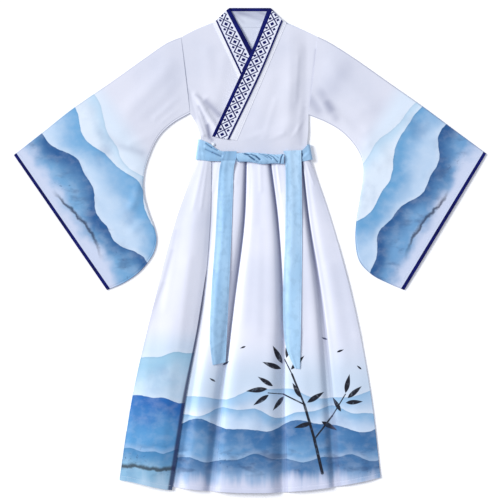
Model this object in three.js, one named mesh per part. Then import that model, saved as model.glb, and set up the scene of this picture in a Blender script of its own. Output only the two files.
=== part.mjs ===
import * as THREE from "three";

// A cross-collar robe with wide curved sleeves, a pleated wrap skirt and a tied sash, laid flat, front up.
// Millimetres. X runs across the robe, Y from the hem to the neck, and Z up from the surface it lies on.
// Left and right in the names are the wearer's, so the wearer's right lies at -X.

// Driving dimensions
const CLOTH = 1.2; // wall of the robe's and the sash's cloth
const RIBBON = 1.0; // wall of the woven collar ribbon and of the navy pipings
const GAP = 0.3; // clearance at seams and between layers
const LAYER = CLOTH + GAP; // from the middle of one layer to the middle of the next
const WAIST_Y = 262;
const HEM_Y = -665; // lowest point of the front hem
const ORIGIN_Y = 6; // the footprint's middle
const CUFF_W = 8.5;
const SLEEVE_AIR = 2.6; // hollow between a sleeve's two layers at its middle
const COLLAR_RISE = 5.0; // how far the over front rises to clear the under front and its collar
const WAIST_RISE = 1.5; // and to clear the under front alone at the waist
const TURN_UNDER = 14; // how far the sash's front reaches round the side and under the robe
const SNAP_D = 10;

// Outlines, as points in XY, from the waist or the armhole outwards
const WAIST = { right: [-143, WAIST_Y], left: [165, WAIST_Y] };
const ARMPIT = { right: [-166, 385], left: [162, 381] };
const SHOULDER = { right: [-191, 596], left: [188, 597] };
const NECK = { right: [-100, 638], left: [100, 638] };
const NECK_CENTRE = [0, 626];
const SIDE = {
  right: [WAIST.right, [-138, 289], [-136, 314], [-141, 336], [-149, 357], ARMPIT.right],
  left: [WAIST.left, [160, 289], [158, 302], [161, 334], [161.5, 360], ARMPIT.left],
};
const SLOPE = {
  right: [SHOULDER.right, [-147, 619], NECK.right],
  left: [SHOULDER.left, [144, 618], NECK.left],
};
const SLEEVE_TOP = {
  right: [SHOULDER.right, [-233, 578], [-294, 536], [-388, 469], [-490, 399], [-571, 335], [-654, 270]],
  left: [SHOULDER.left, [222, 580], [288, 538], [379, 474], [476, 406], [565, 340], [654, 274]],
};
const SLEEVE_UNDER = {
  right: [
    ARMPIT.right, [-216, 356], [-255, 317], [-281, 262], [-294, 212], [-294, 162], [-281, 112],
    [-264, 65], [-259, 29], [-271, -10], [-305, -53], [-349, -84], [-396, -104],
  ],
  left: [
    ARMPIT.left, [211, 361], [255, 334], [292, 294], [312, 251], [313, 205], [303, 140],
    [294, 84], [292, 26], [303, -25], [338, -62], [382, -85], [427, -104],
  ],
};

// The collar's long edges on each front: its free edge, the piping's edge, the ribbon's edge and the seam.
// The rows run from the neck fold to the waist.
const COLLAR = {
  over: {
    free: [[50, 677], [5, 560], [-47, 447], [-105, 321]],
    piping: [[61, 669], [16.5, 556], [-35.5, 443], [-93.5, 318]],
    ribbon: [[90.5, 641], [29, 493], [-58, 312]],
    seam: [[101, 635.5], [40, 489], [-36, 310]],
  },
  under: {
    free: [[-57, 677], [5, 560], [55, 447], [105, 323]],
    piping: [[-66, 670], [-6.5, 555], [43.5, 442], [93.5, 320]],
    ribbon: [[-94.5, 641], [-26, 493], [60, 313]],
    seam: [[-104, 635.5], [-33, 485], [36, 312]],
  },
};
const COLLAR_BACK = { topY: 677, topHalf: 57, seamHalf: 98, pipingHigh: 9 };

// The skirt's lines run from waist to hem. LEVELS are shares of the way down, and each row below gives
// a line's x at those levels, how far it stands up there, and for a fold how far it laps and how shut it is.
const LEVELS = [0, 0.187, 0.428, 0.729, 1];
const FRONT_LINES = [
  { line: "start", x: [-116, -125, -144, -184, -226], rise: [0, 0, 0, 0, 0] },
  { line: "valley", x: [-101, -104, -124, -162, -202], rise: [0, 0, 0, 0, 0] },
  { line: "crest", x: [-66, -72, -98, -140, -172], rise: [3, 9, 12, 12, 11] },
  { line: "roll", x: [-22, -36, -72, -112, -138], rise: [2.8, 8, 10.4, 10.4, 9.5] },
  {
    line: "fold", x: [-7, -13, -41, -76, -100], towards: 1,
    rise: [4.6, 11, 16, 15, 13], lap: [11, 12, 8, 3, 0], shut: [1, 1, 1, 0.5, 0.15],
  },
  { line: "crest", x: [9, 5, -19, -46, -66], rise: [4.6, 11, 16, 15, 13] },
  { line: "crest", x: [26, 30, 32, 28, 24], rise: [4.6, 11, 16, 15, 13] },
  { line: "roll", x: [43, 54, 56, 50, 52], rise: [4, 9.4, 13.4, 12.6, 11] },
  {
    line: "fold", x: [58, 80, 94, 97, 102], towards: 1,
    rise: [3.9, 9, 12, 10, 8], lap: [8, 12, 10, 5, 0], shut: [1, 1, 1, 0.6, 0.15],
  },
  { line: "crest", x: [74, 97, 117, 126, 134], rise: [3.9, 9, 12, 10, 8] },
  { line: "crest", x: [116, 134, 152, 162, 174], rise: [3.9, 9, 12, 10, 8] },
  { line: "roll", x: [133, 147, 168, 191, 211], rise: [3.4, 7.6, 9.8, 8.4, 6.8] },
  {
    line: "fold", x: [146, 166, 200, 228, 248], towards: 1,
    rise: [4, 5.6, 6, 5, 4.2], lap: [7, 8, 3, 0, 0], shut: [1, 1, 0.6, 0.2, 0.05],
  },
  { line: "crest", x: [157, 187, 227, 260, 284], rise: [4, 5.6, 6, 5, 4.2] },
  { line: "roll", x: [161.5, 207, 260, 309, 337], rise: [2.6, 3.2, 3.2, 2.8, 2.4] },
  { line: "seam", x: [165, 223, 282, 333, 361], rise: [0, 0, 0, 0, 0] },
];
const SIDE_LINES = [
  { line: "seam", x: [-143, -205, -263, -324, -361], rise: [0, 0, 0, 0, 0] },
  { line: "crease", x: [-139, -188, -247, -312, -346], rise: [1.5, 2.5, 3, 3, 3] },
  { line: "crest", x: [-127, -152, -193, -249, -285], rise: [2.6, 9, 12, 13, 11] },
  { line: "slope", x: [-114, -124, -150, -201, -239], rise: [2.4, 6, 7.4, 8, 7] },
  { line: "edge", x: [-107, -111, -130, -179, -216], rise: [1.9, 2.1, 2.1, 2.1, 2.1] },
];
const BACK_INSET = 6; // the back hem lies this far above the front one

// Soft ridges that the laid cloth keeps: from one point to another, with half-width and height
const RIDGES = {
  sleeveRight: [
    { from: [-455, 368], to: [-300, 262], half: 24, rise: 3.4 },
    { from: [-303, 190], to: [-326, 128], half: 12, rise: 3 },
    { from: [-322, 60], to: [-285, 92], half: 12, rise: 2.2 },
    { from: [-215, 520], to: [-330, 400], half: 26, rise: 2.4 },
  ],
  sleeveLeft: [
    { from: [205, 402], to: [318, 300], half: 16, rise: 3.4 },
    { from: [322, 330], to: [372, 262], half: 20, rise: 2.4 },
    { from: [215, 520], to: [330, 410], half: 28, rise: 2.2 },
    { from: [330, 50], to: [372, -20], half: 14, rise: 2.2 },
  ],
  chest: [
    { from: [-158, 442], to: [-98, 386], half: 13, rise: 3.2 },
    { from: [-150, 410], to: [-118, 318], half: 9, rise: 2.6 },
    { from: [120, 360], to: [20, 300], half: 20, rise: 2.2 },
    { from: [140, 560], to: [96, 420], half: 26, rise: 1.8 },
  ],
};

// The sash's edges along X, above and below, and the outlines of its two hanging ends
const SASH = {
  right: {
    above: [[-138, 313], [-113, 302], [-97, 289], [-77, 280], [-42, 278]],
    below: [[-146, 257], [-113, 253.5], [-77, 252.5], [-42, 251]],
  },
  left: {
    above: [[104, 272], [136, 280], [147, 285], [160, 299]],
    below: [[104, 249], [140, 251], [168, 257]],
  },
};
const SASH_Z = 10.2; // middle of the sash where it crosses the front
const TAIL_AIR = 1.2; // clearance of the hanging ends above the folds that they bridge
const TWIST = {
  path: [[-36.9, 263.2], [0, 262.9], [33, 259.7], [69, 258.3], [93.5, 259]],
  half: [12.5, 14.3, 16, 13.4, 15],
  thick: 4.4, turns: 2.2, lobes: 3, lobeDepth: 0.13,
};
const TAILS = {
  right: {
    outer: [
      [-72, 280], [-74, 266], [-84, 232], [-90, 150], [-96, 35], [-106, -100], [-111, -234], [-103, -311],
    ],
    inner: [
      [-37, 280], [-38, 262], [-45, 232], [-48, 150], [-52, 35], [-58, -100], [-64, -234], [-68, -304],
    ],
  },
  left: {
    outer: [[142, 283], [142, 262], [143, 201], [144, 35], [142, -132], [140, -240], [138, -322]],
    inner: [[92, 281], [96, 262], [99, 201], [97, 35], [91, -132], [97, -250], [124, -320]],
  },
};
const SNAP = { at: [-101, 299] };

const { lerp, smoothstep, clamp } = THREE.MathUtils;

// Curves and tables

// A smooth plane curve through a list of [x, y] points.
function curve(points) {
  return new THREE.SplineCurve(points.map(([x, y]) => new THREE.Vector2(x, y)));
}

// One line made of smooth runs with a corner between each two.
function joined(...runs) {
  const path = new THREE.CurvePath();
  runs.forEach((points) => path.add(curve(points)));
  return path;
}

// A curve's point at share t of its length.
function along(line, t) {
  return line.getPointAt(clamp(t, 0, 1));
}

// Shares of a length for a grid's rows: close together up to one share and wider beyond it.
function shares(close, until, wide) {
  const near = Array.from({ length: close }, (_, k) => (until * k) / close);
  const far = Array.from({ length: wide + 1 }, (_, k) => lerp(until, 1, k / wide));
  return [...near, ...far];
}

// The value of a row's column at share v of the way down the skirt.
function atLevel(column, v) {
  const found = new THREE.CubicInterpolant(LEVELS, column, 1).evaluate(clamp(v, 0, 1));
  return found[0];
}

// Heights of the middle of each layer above the surface

// The back rises over the strip of sash that passes under it.
function backHeight(y) {
  const rampUp = smoothstep(y, 190, 252);
  const rampDown = 1 - smoothstep(y, 316, 378);
  return CLOTH / 2 + LAYER * rampUp * rampDown;
}

// A soft straight ridge's share of height at a point.
function ridge({ from, to, half, rise }, x, y) {
  const dx = to[0] - from[0];
  const dy = to[1] - from[1];
  const t = ((x - from[0]) * dx + (y - from[1]) * dy) / (dx * dx + dy * dy);
  const away = Math.hypot(x - from[0] - clamp(t, 0, 1) * dx, y - from[1] - clamp(t, 0, 1) * dy);
  return rise * Math.exp(-((away / half) ** 2));
}

function ridges(list, x, y) {
  return list.reduce((sum, row) => sum + ridge(row, x, y), 0);
}

// Share of relief near the seams round a front: none at the seam, all well inside.
function insideSeams(x, y) {
  const right = smoothstep(x, -178 + (596 - y) * 0.07, -140 + (596 - y) * 0.07);
  const left = 1 - smoothstep(x, 128, 162);
  const above = 1 - smoothstep(y, 560, 600);
  const below = smoothstep(y, 300, 330);
  return right * left * above * below;
}

function underHeight(x, y) {
  return backHeight(y) + LAYER + ridges(RIDGES.chest, x, y) * insideSeams(x, y);
}

// The over front rises from its shoulder, its side seam and the waist to pass over the under front's collar.
function overHeight(x, y) {
  const fromSide = 1 - smoothstep(x, 104, 160);
  const fromShoulder = 1 - smoothstep(y, 566, 650);
  const overLayers = lerp(WAIST_RISE, COLLAR_RISE, smoothstep(y, WAIST_Y, 316));
  const rise = 0.2 + overLayers * fromSide * fromShoulder;
  return backHeight(y) + LAYER + rise + ridges(RIDGES.chest, x, y) * insideSeams(x, y);
}

// Solids

// A closed slab round a grid of points on a sheet's middle, of one thickness.
// The grid's rows run along +Y and its columns along +X, so that its normals face up.
function slab(grid, thickness) {
  const rows = grid.length;
  const columns = grid[0].length;
  const at = (j, i) => grid[clamp(j, 0, rows - 1)][clamp(i, 0, columns - 1)];
  const top = [];
  const bottom = [];
  for (let j = 0; j < rows; j++) {
    for (let i = 0; i < columns; i++) {
      const across = at(j, i + 1).clone().sub(at(j, i - 1));
      const up = at(j + 1, i).clone().sub(at(j - 1, i));
      const normal = across.cross(up).normalize().multiplyScalar(thickness / 2);
      top.push(at(j, i).clone().add(normal));
      bottom.push(at(j, i).clone().sub(normal));
    }
  }
  const n = rows * columns;
  const faces = [];
  const quad = (a, b, c, d) => faces.push(a, b, c, a, c, d);
  for (let j = 0; j < rows - 1; j++) {
    for (let i = 0; i < columns - 1; i++) {
      const k = j * columns + i;
      quad(k, k + 1, k + columns + 1, k + columns);
      quad(n + k, n + k + columns, n + k + columns + 1, n + k + 1);
    }
  }
  const rim = [];
  for (let i = 0; i < columns - 1; i++) rim.push(i);
  for (let j = 0; j < rows - 1; j++) rim.push(j * columns + columns - 1);
  for (let i = columns - 1; i > 0; i--) rim.push((rows - 1) * columns + i);
  for (let j = rows - 1; j > 0; j--) rim.push(j * columns);
  rim.forEach((a, k) => {
    const b = rim[(k + 1) % rim.length];
    quad(n + a, n + b, b, a);
  });
  return solid([...top, ...bottom], faces);
}

function solid(points, faces) {
  const geometry = new THREE.BufferGeometry().setFromPoints(points);
  geometry.setIndex(faces);
  geometry.computeVertexNormals();
  return geometry;
}

// A closed tube of cloth through rings of points: an outer and an inner wall, open at both ends.
function openTube(outer, inner) {
  const count = outer[0].length;
  const points = [...outer.flat(), ...inner.flat()];
  const n = outer.length * count;
  const faces = [];
  const quad = (a, b, c, d) => faces.push(a, b, c, a, c, d);
  const next = (i) => (i + 1) % count;
  for (let j = 0; j < outer.length - 1; j++) {
    for (let i = 0; i < count; i++) {
      const [a, b] = [j * count + i, j * count + next(i)];
      quad(a, b, b + count, a + count);
      quad(n + a, n + a + count, n + b + count, n + b);
    }
  }
  const last = (outer.length - 1) * count;
  for (let i = 0; i < count; i++) {
    quad(n + i, n + next(i), next(i), i);
    quad(last + i, last + next(i), n + last + next(i), n + last + i);
  }
  return solid(points, faces);
}

// A panel between four plane curves, blended inwards from all four, at a height given for each point.
function panel({ bottom, top, right, left, height, columns, rows }) {
  const grid = [];
  const [b0, b1, t0, t1] = [along(bottom, 0), along(bottom, 1), along(top, 0), along(top, 1)];
  for (const v of rows) {
    const row = [];
    for (let i = 0; i <= columns; i++) {
      const u = i / columns;
      const [pb, pt, pr, pl] = [along(bottom, u), along(top, u), along(right, v), along(left, v)];
      const corner = (key) =>
        (1 - u) * (1 - v) * b0[key] + u * (1 - v) * b1[key] + (1 - u) * v * t0[key] + u * v * t1[key];
      const x = (1 - v) * pb.x + v * pt.x + (1 - u) * pr.x + u * pl.x - corner("x");
      const y = (1 - v) * pb.y + v * pt.y + (1 - u) * pr.y + u * pl.y - corner("y");
      row.push(new THREE.Vector3(x, y, height(x, y)));
    }
    grid.push(row);
  }
  return slab(grid, CLOTH);
}

// A strip between two long edges that run down from the neck, lying at a height.
// The edge on the wearer's right comes first.
function strip(rightEdge, leftEdge, height, { columns, rows, thickness }) {
  const [r, l] = [curve(rightEdge), curve(leftEdge)];
  const grid = [];
  for (let j = 0; j <= rows; j++) {
    const [a, b] = [along(r, 1 - j / rows), along(l, 1 - j / rows)];
    const row = [];
    for (let i = 0; i <= columns; i++) {
      const [x, y] = [lerp(a.x, b.x, i / columns), lerp(a.y, b.y, i / columns)];
      row.push(new THREE.Vector3(x, y, height(x, y)));
    }
    grid.push(row);
  }
  return slab(grid, thickness);
}

// An edge moved sideways by a gap.
function moved(edge, dx) {
  return edge.map(([x, y]) => [x + dx, y]);
}

// The skirt

function frontHem(x) {
  const middle = 20;
  const [reach, lift] = x > middle ? [341, 42] : [247, 18];
  return HEM_Y + lift * ((x - middle) / reach) ** 2;
}

function sideHem(x) {
  return lerp(-630, -658, smoothstep(x, -375, -205));
}

// Points of a fold's cloth beside its edge.
// Where it is shut it doubles back under the edge, and where it is open it slopes.
const SHUT_FOLD = (lap, rise) => [
  [-2.5, 0], [lap - 1.6, 0], [lap, 1.0], [lap - 1.6, 2.0],
  [1.6, 2.3], [0, 3.3], [1.6, 4.3], [9, Math.max(4.3, 0.72 * rise)],
];
const OPEN_FOLD = (rise) => [
  [-15, 0], [-9, 0.05 * rise], [-4, 0.15 * rise], [0, 0.28 * rise],
  [4, 0.42 * rise], [8, 0.56 * rise], [12, 0.7 * rise], [19, 0.88 * rise],
];

// The section of a pleated panel at share v of the way down, as [x, rise] points across it.
function section(lines, v) {
  const points = [];
  for (const row of lines) {
    const [x, rise] = [atLevel(row.x, v), atLevel(row.rise, v)];
    if (row.line !== "fold") {
      points.push([x, rise]);
      continue;
    }
    const [lap, shut] = [atLevel(row.lap, v), clamp(atLevel(row.shut, v), 0, 1)];
    const open = OPEN_FOLD(rise);
    const cloth = SHUT_FOLD(Math.max(lap, 1.7), rise).map(([dx, z], k) => [
      x + row.towards * lerp(open[k][0], dx, shut),
      lerp(open[k][1], z, shut),
    ]);
    points.push(...(row.towards > 0 ? cloth : cloth.reverse()));
  }
  return points;
}

// A smooth line through a section's points, with a few samples for each stretch.
function sampled(points, each) {
  const line = new THREE.CatmullRomCurve3(points.map(([x, z]) => new THREE.Vector3(x, 0, z)));
  const count = (points.length - 1) * each;
  return line.getPoints(count).map((p) => [p.x, Math.max(p.z, 0)]);
}

function skirtHeight(y, rise) {
  return backHeight(y) + LAYER + 0.05 + rise;
}

// A hanging panel of the skirt, from its lines.
function skirtPanel(lines, hem, rows, each) {
  const grid = [];
  for (const v of [...rows].reverse()) {
    const across = sampled(section(lines, v), each);
    grid.push(
      across.map(([x, rise]) => {
        const y = lerp(WAIST_Y - GAP, hem(x), v);
        return new THREE.Vector3(x, y, skirtHeight(y, rise));
      }),
    );
  }
  return slab(grid, CLOTH);
}

// The top of the front skirt's cloth at a point, smoothed over the width that a ribbon bridges.
const SECTION_STEPS = 60;
const BRIDGED = [0, -22, -11, 11, 22];
const frontSections = Array.from({ length: SECTION_STEPS + 1 }, (_, k) =>
  sampled(section(FRONT_LINES, k / SECTION_STEPS), 3),
);
function topOfSection(points, x) {
  let top = 0;
  for (let k = 1; k < points.length; k++) {
    const [[xa, za], [xb, zb]] = [points[k - 1], points[k]];
    if ((xa - x) * (xb - x) <= 0 && xa !== xb) top = Math.max(top, lerp(za, zb, (x - xa) / (xb - xa)));
  }
  return top;
}
function skirtTop(x, y) {
  const v = clamp((WAIST_Y - y) / (WAIST_Y - frontHem(x)), 0, 1) * SECTION_STEPS;
  const k = Math.min(Math.floor(v), SECTION_STEPS - 1);
  const tops = BRIDGED.map((dx) =>
    lerp(topOfSection(frontSections[k], x + dx), topOfSection(frontSections[k + 1], x + dx), v - k),
  );
  return Math.max(tops[0], tops.reduce((sum, top) => sum + top, 0) / tops.length);
}

// The sash

// The sash comes down a little where fewer layers lie under it, at the wearer's right.
function sashHeight(x) {
  return lerp(7.8, SASH_Z, smoothstep(x, WAIST.right[0], WAIST.right[0] + 34));
}

// A front stretch of the sash that turns round the robe's side and ends under its back.
function sashFront(edges, side) {
  const rows = 5;
  const [above, below] = [curve(edges.above), curve(edges.below)];
  const towards = side === "right" ? -1 : 1;
  const inner = { right: -42, left: 104 }[side];
  const grid = [];
  for (let j = 0; j <= rows; j++) {
    const share = j / rows;
    const [a, b] = [above, below].map((line) => line.points.at(side === "right" ? 0 : -1));
    const sideX = lerp(b.x, a.x, share);
    const sideY = lerp(b.y, a.y, share);
    const high = sashHeight(sideX - towards * 5);
    const turn = [
      [sideX - towards * TURN_UNDER, 0.6], [sideX - towards * 5, 0.6], [sideX, 0.75],
      [sideX + towards * 3.4, 1.7], [sideX + towards * 4.6, high / 2],
      [sideX + towards * 3.6, high - 1.8], [sideX, high - 0.3],
    ].map(([x, z]) => new THREE.Vector3(x, sideY, z));
    const flat = [];
    const steps = 9;
    for (let i = 1; i <= steps; i++) {
      const t = i / steps;
      const [pa, pb] = [above, below].map((line) => along(line, side === "right" ? t : 1 - t));
      const x = lerp(pb.x, pa.x, share);
      const crease = 0.7 * Math.sin(share * Math.PI * 3 - t * 2);
      const z = sashHeight(x) + crease * smoothstep(t, 0, 0.3);
      flat.push(new THREE.Vector3(x, lerp(pb.y, pa.y, share), z));
    }
    const row = [...turn, ...flat];
    grid.push(side === "right" ? row : row.reverse());
    row.forEach((p) => (p.x = towards > 0 ? Math.max(p.x, inner) : Math.min(p.x, inner)));
  }
  return slab(grid, CLOTH);
}

// The crossed part of the sash, twisted like a rope: a flattened lobed section that turns along its path.
function twist() {
  const path = curve(TWIST.path);
  const width = curve(TWIST.path.map(([x], k) => [x, TWIST.half[k]]));
  const [steps, around] = [20, 16];
  const rings = [];
  for (let j = 0; j <= steps; j++) {
    const t = j / steps;
    const centre = along(path, t);
    const half = along(width, t).y;
    const ring = [];
    for (let i = 0; i < around; i++) {
      const angle = (i / around) * 2 * Math.PI;
      const phase = TWIST.lobes * angle - t * TWIST.turns * 2 * Math.PI;
      const lobes = 1 - TWIST.lobeDepth * (0.5 + 0.5 * Math.cos(phase));
      const low = SASH_Z - CLOTH / 2 + GAP;
      const z = low + TWIST.thick + Math.sin(angle) * TWIST.thick * lobes;
      ring.push(new THREE.Vector3(centre.x, centre.y + Math.cos(angle) * half * lobes, z));
    }
    rings.push(ring);
  }
  const points = [...rings.flat(), middleOf(rings[0]), middleOf(rings.at(-1))];
  const faces = [];
  for (let j = 0; j < steps; j++) {
    for (let i = 0; i < around; i++) {
      const [a, b] = [j * around + i, j * around + ((i + 1) % around)];
      faces.push(a, b, b + around, a, b + around, a + around);
    }
  }
  const [first, last, cap] = [points.length - 2, points.length - 1, steps * around];
  for (let i = 0; i < around; i++) {
    const k = (i + 1) % around;
    faces.push(first, k, i, last, cap + i, cap + k);
  }
  return solid(points, faces);
}

function middleOf(ring) {
  return ring.reduce((sum, p) => sum.add(p), new THREE.Vector3()).divideScalar(ring.length);
}

// A hanging end of the sash. It starts over the sash and lies on the skirt's folds.
function tail({ outer, inner }, towards) {
  const rows = 22;
  const onSash = SASH_Z + LAYER + 0.9;
  const height = (x, y) => {
    const onSkirt = skirtHeight(y, skirtTop(x, y)) + CLOTH + TAIL_AIR;
    const share = smoothstep(y, WAIST_Y - 45, WAIST_Y - 15);
    return lerp(onSkirt, Math.max(onSash, onSkirt), share);
  };
  const [r, l] = towards > 0 ? [inner, outer] : [outer, inner];
  return strip(r, l, height, { columns: 6, rows, thickness: CLOTH });
}

// Sleeves

const SLEEVE_STEPS = 11;
const SLEEVE_ACROSS = 12;

// One ring round a flattened sleeve between its top fold and its under seam.
// The inset is 0 for the outer face and a wall's thickness for the inner one.
function sleeveRing(a, b, inset, air, relief) {
  const length = a.distanceTo(b);
  const ring = [];
  const height = (w) => {
    const open = Math.sin(Math.PI * w) ** 0.5;
    return { floor: inset, roof: 2 * CLOTH + 0.5 + air * open - inset };
  };
  const point = (w, z) => {
    const [x, y] = [lerp(a.x, b.x, w), lerp(a.y, b.y, w)];
    return [x, y, z];
  };
  const share = (i) => {
    const even = i / SLEEVE_ACROSS;
    const margin = inset / length;
    return margin + even * (1 - 2 * margin);
  };
  const edgeZ = (2 * CLOTH + 0.5) / 2;
  ring.push(point(share(0), edgeZ));
  for (let i = 0; i <= SLEEVE_ACROSS; i++) {
    const w = clamp(share(i), (inset + 1.4) / length, 1 - (inset + 1.4) / length);
    ring.push(point(w, height(w).floor));
  }
  ring.push(point(share(SLEEVE_ACROSS), edgeZ));
  for (let i = SLEEVE_ACROSS; i >= 0; i--) {
    const w = clamp(share(i), (inset + 1.4) / length, 1 - (inset + 1.4) / length);
    const [x, y, z] = point(w, height(w).roof);
    ring.push([x, y, z + relief(x, y) * Math.sin(Math.PI * w)]);
  }
  return ring.map((p) => new THREE.Vector3(...p));
}

// A sleeve from its armhole to where the cuff's binding starts, or the binding itself.
function sleeve(side, from, to, steps, wall) {
  const [top, under] = [curve(SLEEVE_TOP[side]), curve(SLEEVE_UNDER[side])];
  const relief = (x, y) => ridges(RIDGES[side === "right" ? "sleeveRight" : "sleeveLeft"], x, y);
  const rings = (inset) => {
    const list = [];
    for (let j = 0; j <= steps; j++) {
      const t = lerp(from, to, j / steps);
      const [a, b] = [along(top, t), along(under, t)];
      const shift = t === 0 ? (side === "right" ? -GAP : GAP) : 0;
      a.x += shift;
      b.x += shift;
      const fade = smoothstep(t, 0, 0.12) * (1 - smoothstep(t, 0.86, 0.97));
      list.push(sleeveRing(a, b, inset, SLEEVE_AIR * lerp(0.5, 1, fade), (x, y) => relief(x, y) * fade));
    }
    return side === "left" ? list.map((ring) => ring.reverse()) : list;
  };
  return openTube(rings(0), rings(wall));
}

// Shares of a sleeve's length at which the cuff's binding starts and the sleeve stops.
const SLEEVE_LENGTH = 566;
const CUFF_FROM = 1 - CUFF_W / SLEEVE_LENGTH;
const SLEEVE_TO = CUFF_FROM - GAP / SLEEVE_LENGTH;

// The collar

function collarHeights(side) {
  const front = side === "over" ? overHeight : underHeight;
  const base = (x, y) => front(x, y) + LAYER + 0.4;
  const step = (CLOTH + RIBBON) / 2 + GAP;
  return { base, above: (x, y) => base(x, y) + step };
}

// The collar behind the neck lies on the surface with its inside up: ribbon below, band above.
function collarBack(lowY, highY, mid, thickness) {
  const half = (y) => lerp(COLLAR_BACK.topHalf, COLLAR_BACK.seamHalf, (COLLAR_BACK.topY - y) / 40);
  const seamY = (u) => NECK_CENTRE[1] + 1 + 12 * (2 * u - 1) ** 2;
  const [rows, columns] = [4, 10];
  const grid = [];
  for (let j = 0; j <= rows; j++) {
    const row = [];
    for (let i = 0; i <= columns; i++) {
      const u = i / columns;
      const y = lerp(Math.max(seamY(u), lowY), highY, j / rows);
      row.push(new THREE.Vector3(lerp(-half(y), half(y), u), y, mid));
    }
    grid.push(row);
  }
  return slab(grid, thickness);
}

// Materials

const cloth = (color, roughness) => new THREE.MeshStandardMaterial({ color, roughness, metalness: 0 });
const MATERIAL = {
  white: cloth(0xeef0f8, 0.62),
  skirt: cloth(0xc9dcf0, 0.62),
  ribbon: cloth(0xd5daf0, 0.7),
  navy: cloth(0x1b2078, 0.5),
  sash: cloth(0xa5cdef, 0.5),
  snap: new THREE.MeshStandardMaterial({ color: 0xdfe3ee, roughness: 0.35, metalness: 0 }),
};

const robe = new THREE.Group();

function add(name, geometry, material) {
  const mesh = new THREE.Mesh(geometry, material);
  mesh.name = name;
  robe.add(mesh);
  return mesh;
}

function addBodice() {
  const armhole = (side) => [ARMPIT[side], SHOULDER[side]];
  const rightSide = joined(SIDE.right, armhole("right"));
  const leftSide = joined(SIDE.left, armhole("left"));
  const rows = shares(7, 0.36, 7);
  const neckline = [NECK.right, [-60, 630.3], NECK_CENTRE, [60, 630.3], NECK.left];
  add("bodice_back", panel({
    bottom: curve([WAIST.right, WAIST.left]),
    top: joined(SLOPE.right, neckline, [...SLOPE.left].reverse()),
    right: rightSide, left: leftSide,
    height: (x, y) => backHeight(y), columns: 14, rows,
  }), MATERIAL.white);

  add("front_under", panel({
    bottom: curve([WAIST.right, [86, WAIST_Y]]),
    top: curve([SHOULDER.right, [-147, 619], [-100, 634]]),
    right: rightSide,
    left: curve([[86, WAIST_Y], [72, 330], [28, 435], [-14, 545], [-100, 634]]),
    height: underHeight, columns: 12, rows,
  }), MATERIAL.white);

  add("front_over", panel({
    bottom: curve([[-106, WAIST_Y], WAIST.left]),
    top: curve([[98, 634], [144, 616], SHOULDER.left]),
    right: curve([[-106, WAIST_Y], [-107, 300], [-80, 335], [-30, 430], [30, 555], [98, 634]]),
    left: leftSide,
    height: overHeight, columns: 14, rows: shares(7, 0.36, 9),
  }), MATERIAL.white);

  const snap = new THREE.LatheGeometry(
    [[0, 0], [SNAP_D / 2, 0], [SNAP_D / 2, 0.7], [SNAP_D * 0.3, 1.1], [SNAP_D * 0.27, 2.1], [0, 2.3]].map(
      ([r, z]) => new THREE.Vector2(r, z),
    ), 20,
  ).rotateX(Math.PI / 2);
  const [x, y] = SNAP.at;
  add("snap_cap", snap, MATERIAL.snap).position.set(x, y, overHeight(x, y) + CLOTH / 2 + 2 * GAP);
}

function addSleeves() {
  for (const side of ["right", "left"]) {
    add(`sleeve_${side}`, sleeve(side, 0, SLEEVE_TO, SLEEVE_STEPS, CLOTH), MATERIAL.white);
    add(`cuff_${side}`, sleeve(side, CUFF_FROM, 1, 2, CLOTH), MATERIAL.navy);
  }
}

function addCollar() {
  for (const side of ["over", "under"]) {
    const edges = COLLAR[side];
    const { base, above } = collarHeights(side);
    const inward = side === "over" ? 1 : -1;
    const ordered = (free, seam) => (side === "over" ? [free, seam] : [seam, free]);
    const rows = 20;
    add(`collar_${side}`, strip(...ordered(edges.free, edges.seam), base,
      { columns: 6, rows, thickness: CLOTH }), MATERIAL.white);
    add(`piping_${side}`, strip(...ordered(edges.free, edges.piping), above,
      { columns: 2, rows, thickness: RIBBON }), MATERIAL.navy);
    add(`ribbon_${side}`, strip(...ordered(moved(edges.piping, inward * GAP * 1.2), edges.ribbon), above,
      { columns: 4, rows, thickness: RIBBON }), MATERIAL.ribbon);
  }
  const { topY, pipingHigh } = COLLAR_BACK;
  const bandMid = RIBBON + GAP + CLOTH / 2;
  const pipingFrom = topY - pipingHigh;
  add("ribbon_back", collarBack(0, pipingFrom - GAP, RIBBON / 2, RIBBON), MATERIAL.ribbon);
  add("collar_back", collarBack(0, pipingFrom - GAP, bandMid, CLOTH), MATERIAL.white);
  const pipingWall = RIBBON + GAP + CLOTH;
  add("piping_back", collarBack(pipingFrom, topY, pipingWall / 2, pipingWall), MATERIAL.navy);
}

function addSkirt() {
  const sideSeam = (row, hem) => LEVELS.map((v) => {
    const x = atLevel(row.x, v);
    return [x, lerp(WAIST_Y - GAP, hem(x) + BACK_INSET, v)];
  });
  const right = sideSeam(SIDE_LINES[0], sideHem);
  const left = sideSeam(FRONT_LINES.at(-1), frontHem);
  const hem = [right.at(-1), [-190, -648], [20, HEM_Y + BACK_INSET], [200, -644], left.at(-1)];
  add("skirt_back", panel({
    bottom: curve([right[0], left[0]]), top: curve(hem), right: curve(right), left: curve(left),
    height: (x, y) => backHeight(y), columns: 12, rows: shares(4, 0.09, 8),
  }), MATERIAL.skirt);
  add("skirt_front", skirtPanel(FRONT_LINES, frontHem, shares(4, 0.09, 8), 2), MATERIAL.skirt);
  add("skirt_side", skirtPanel(SIDE_LINES, sideHem, shares(4, 0.09, 8), 3), MATERIAL.skirt);
}

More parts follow.
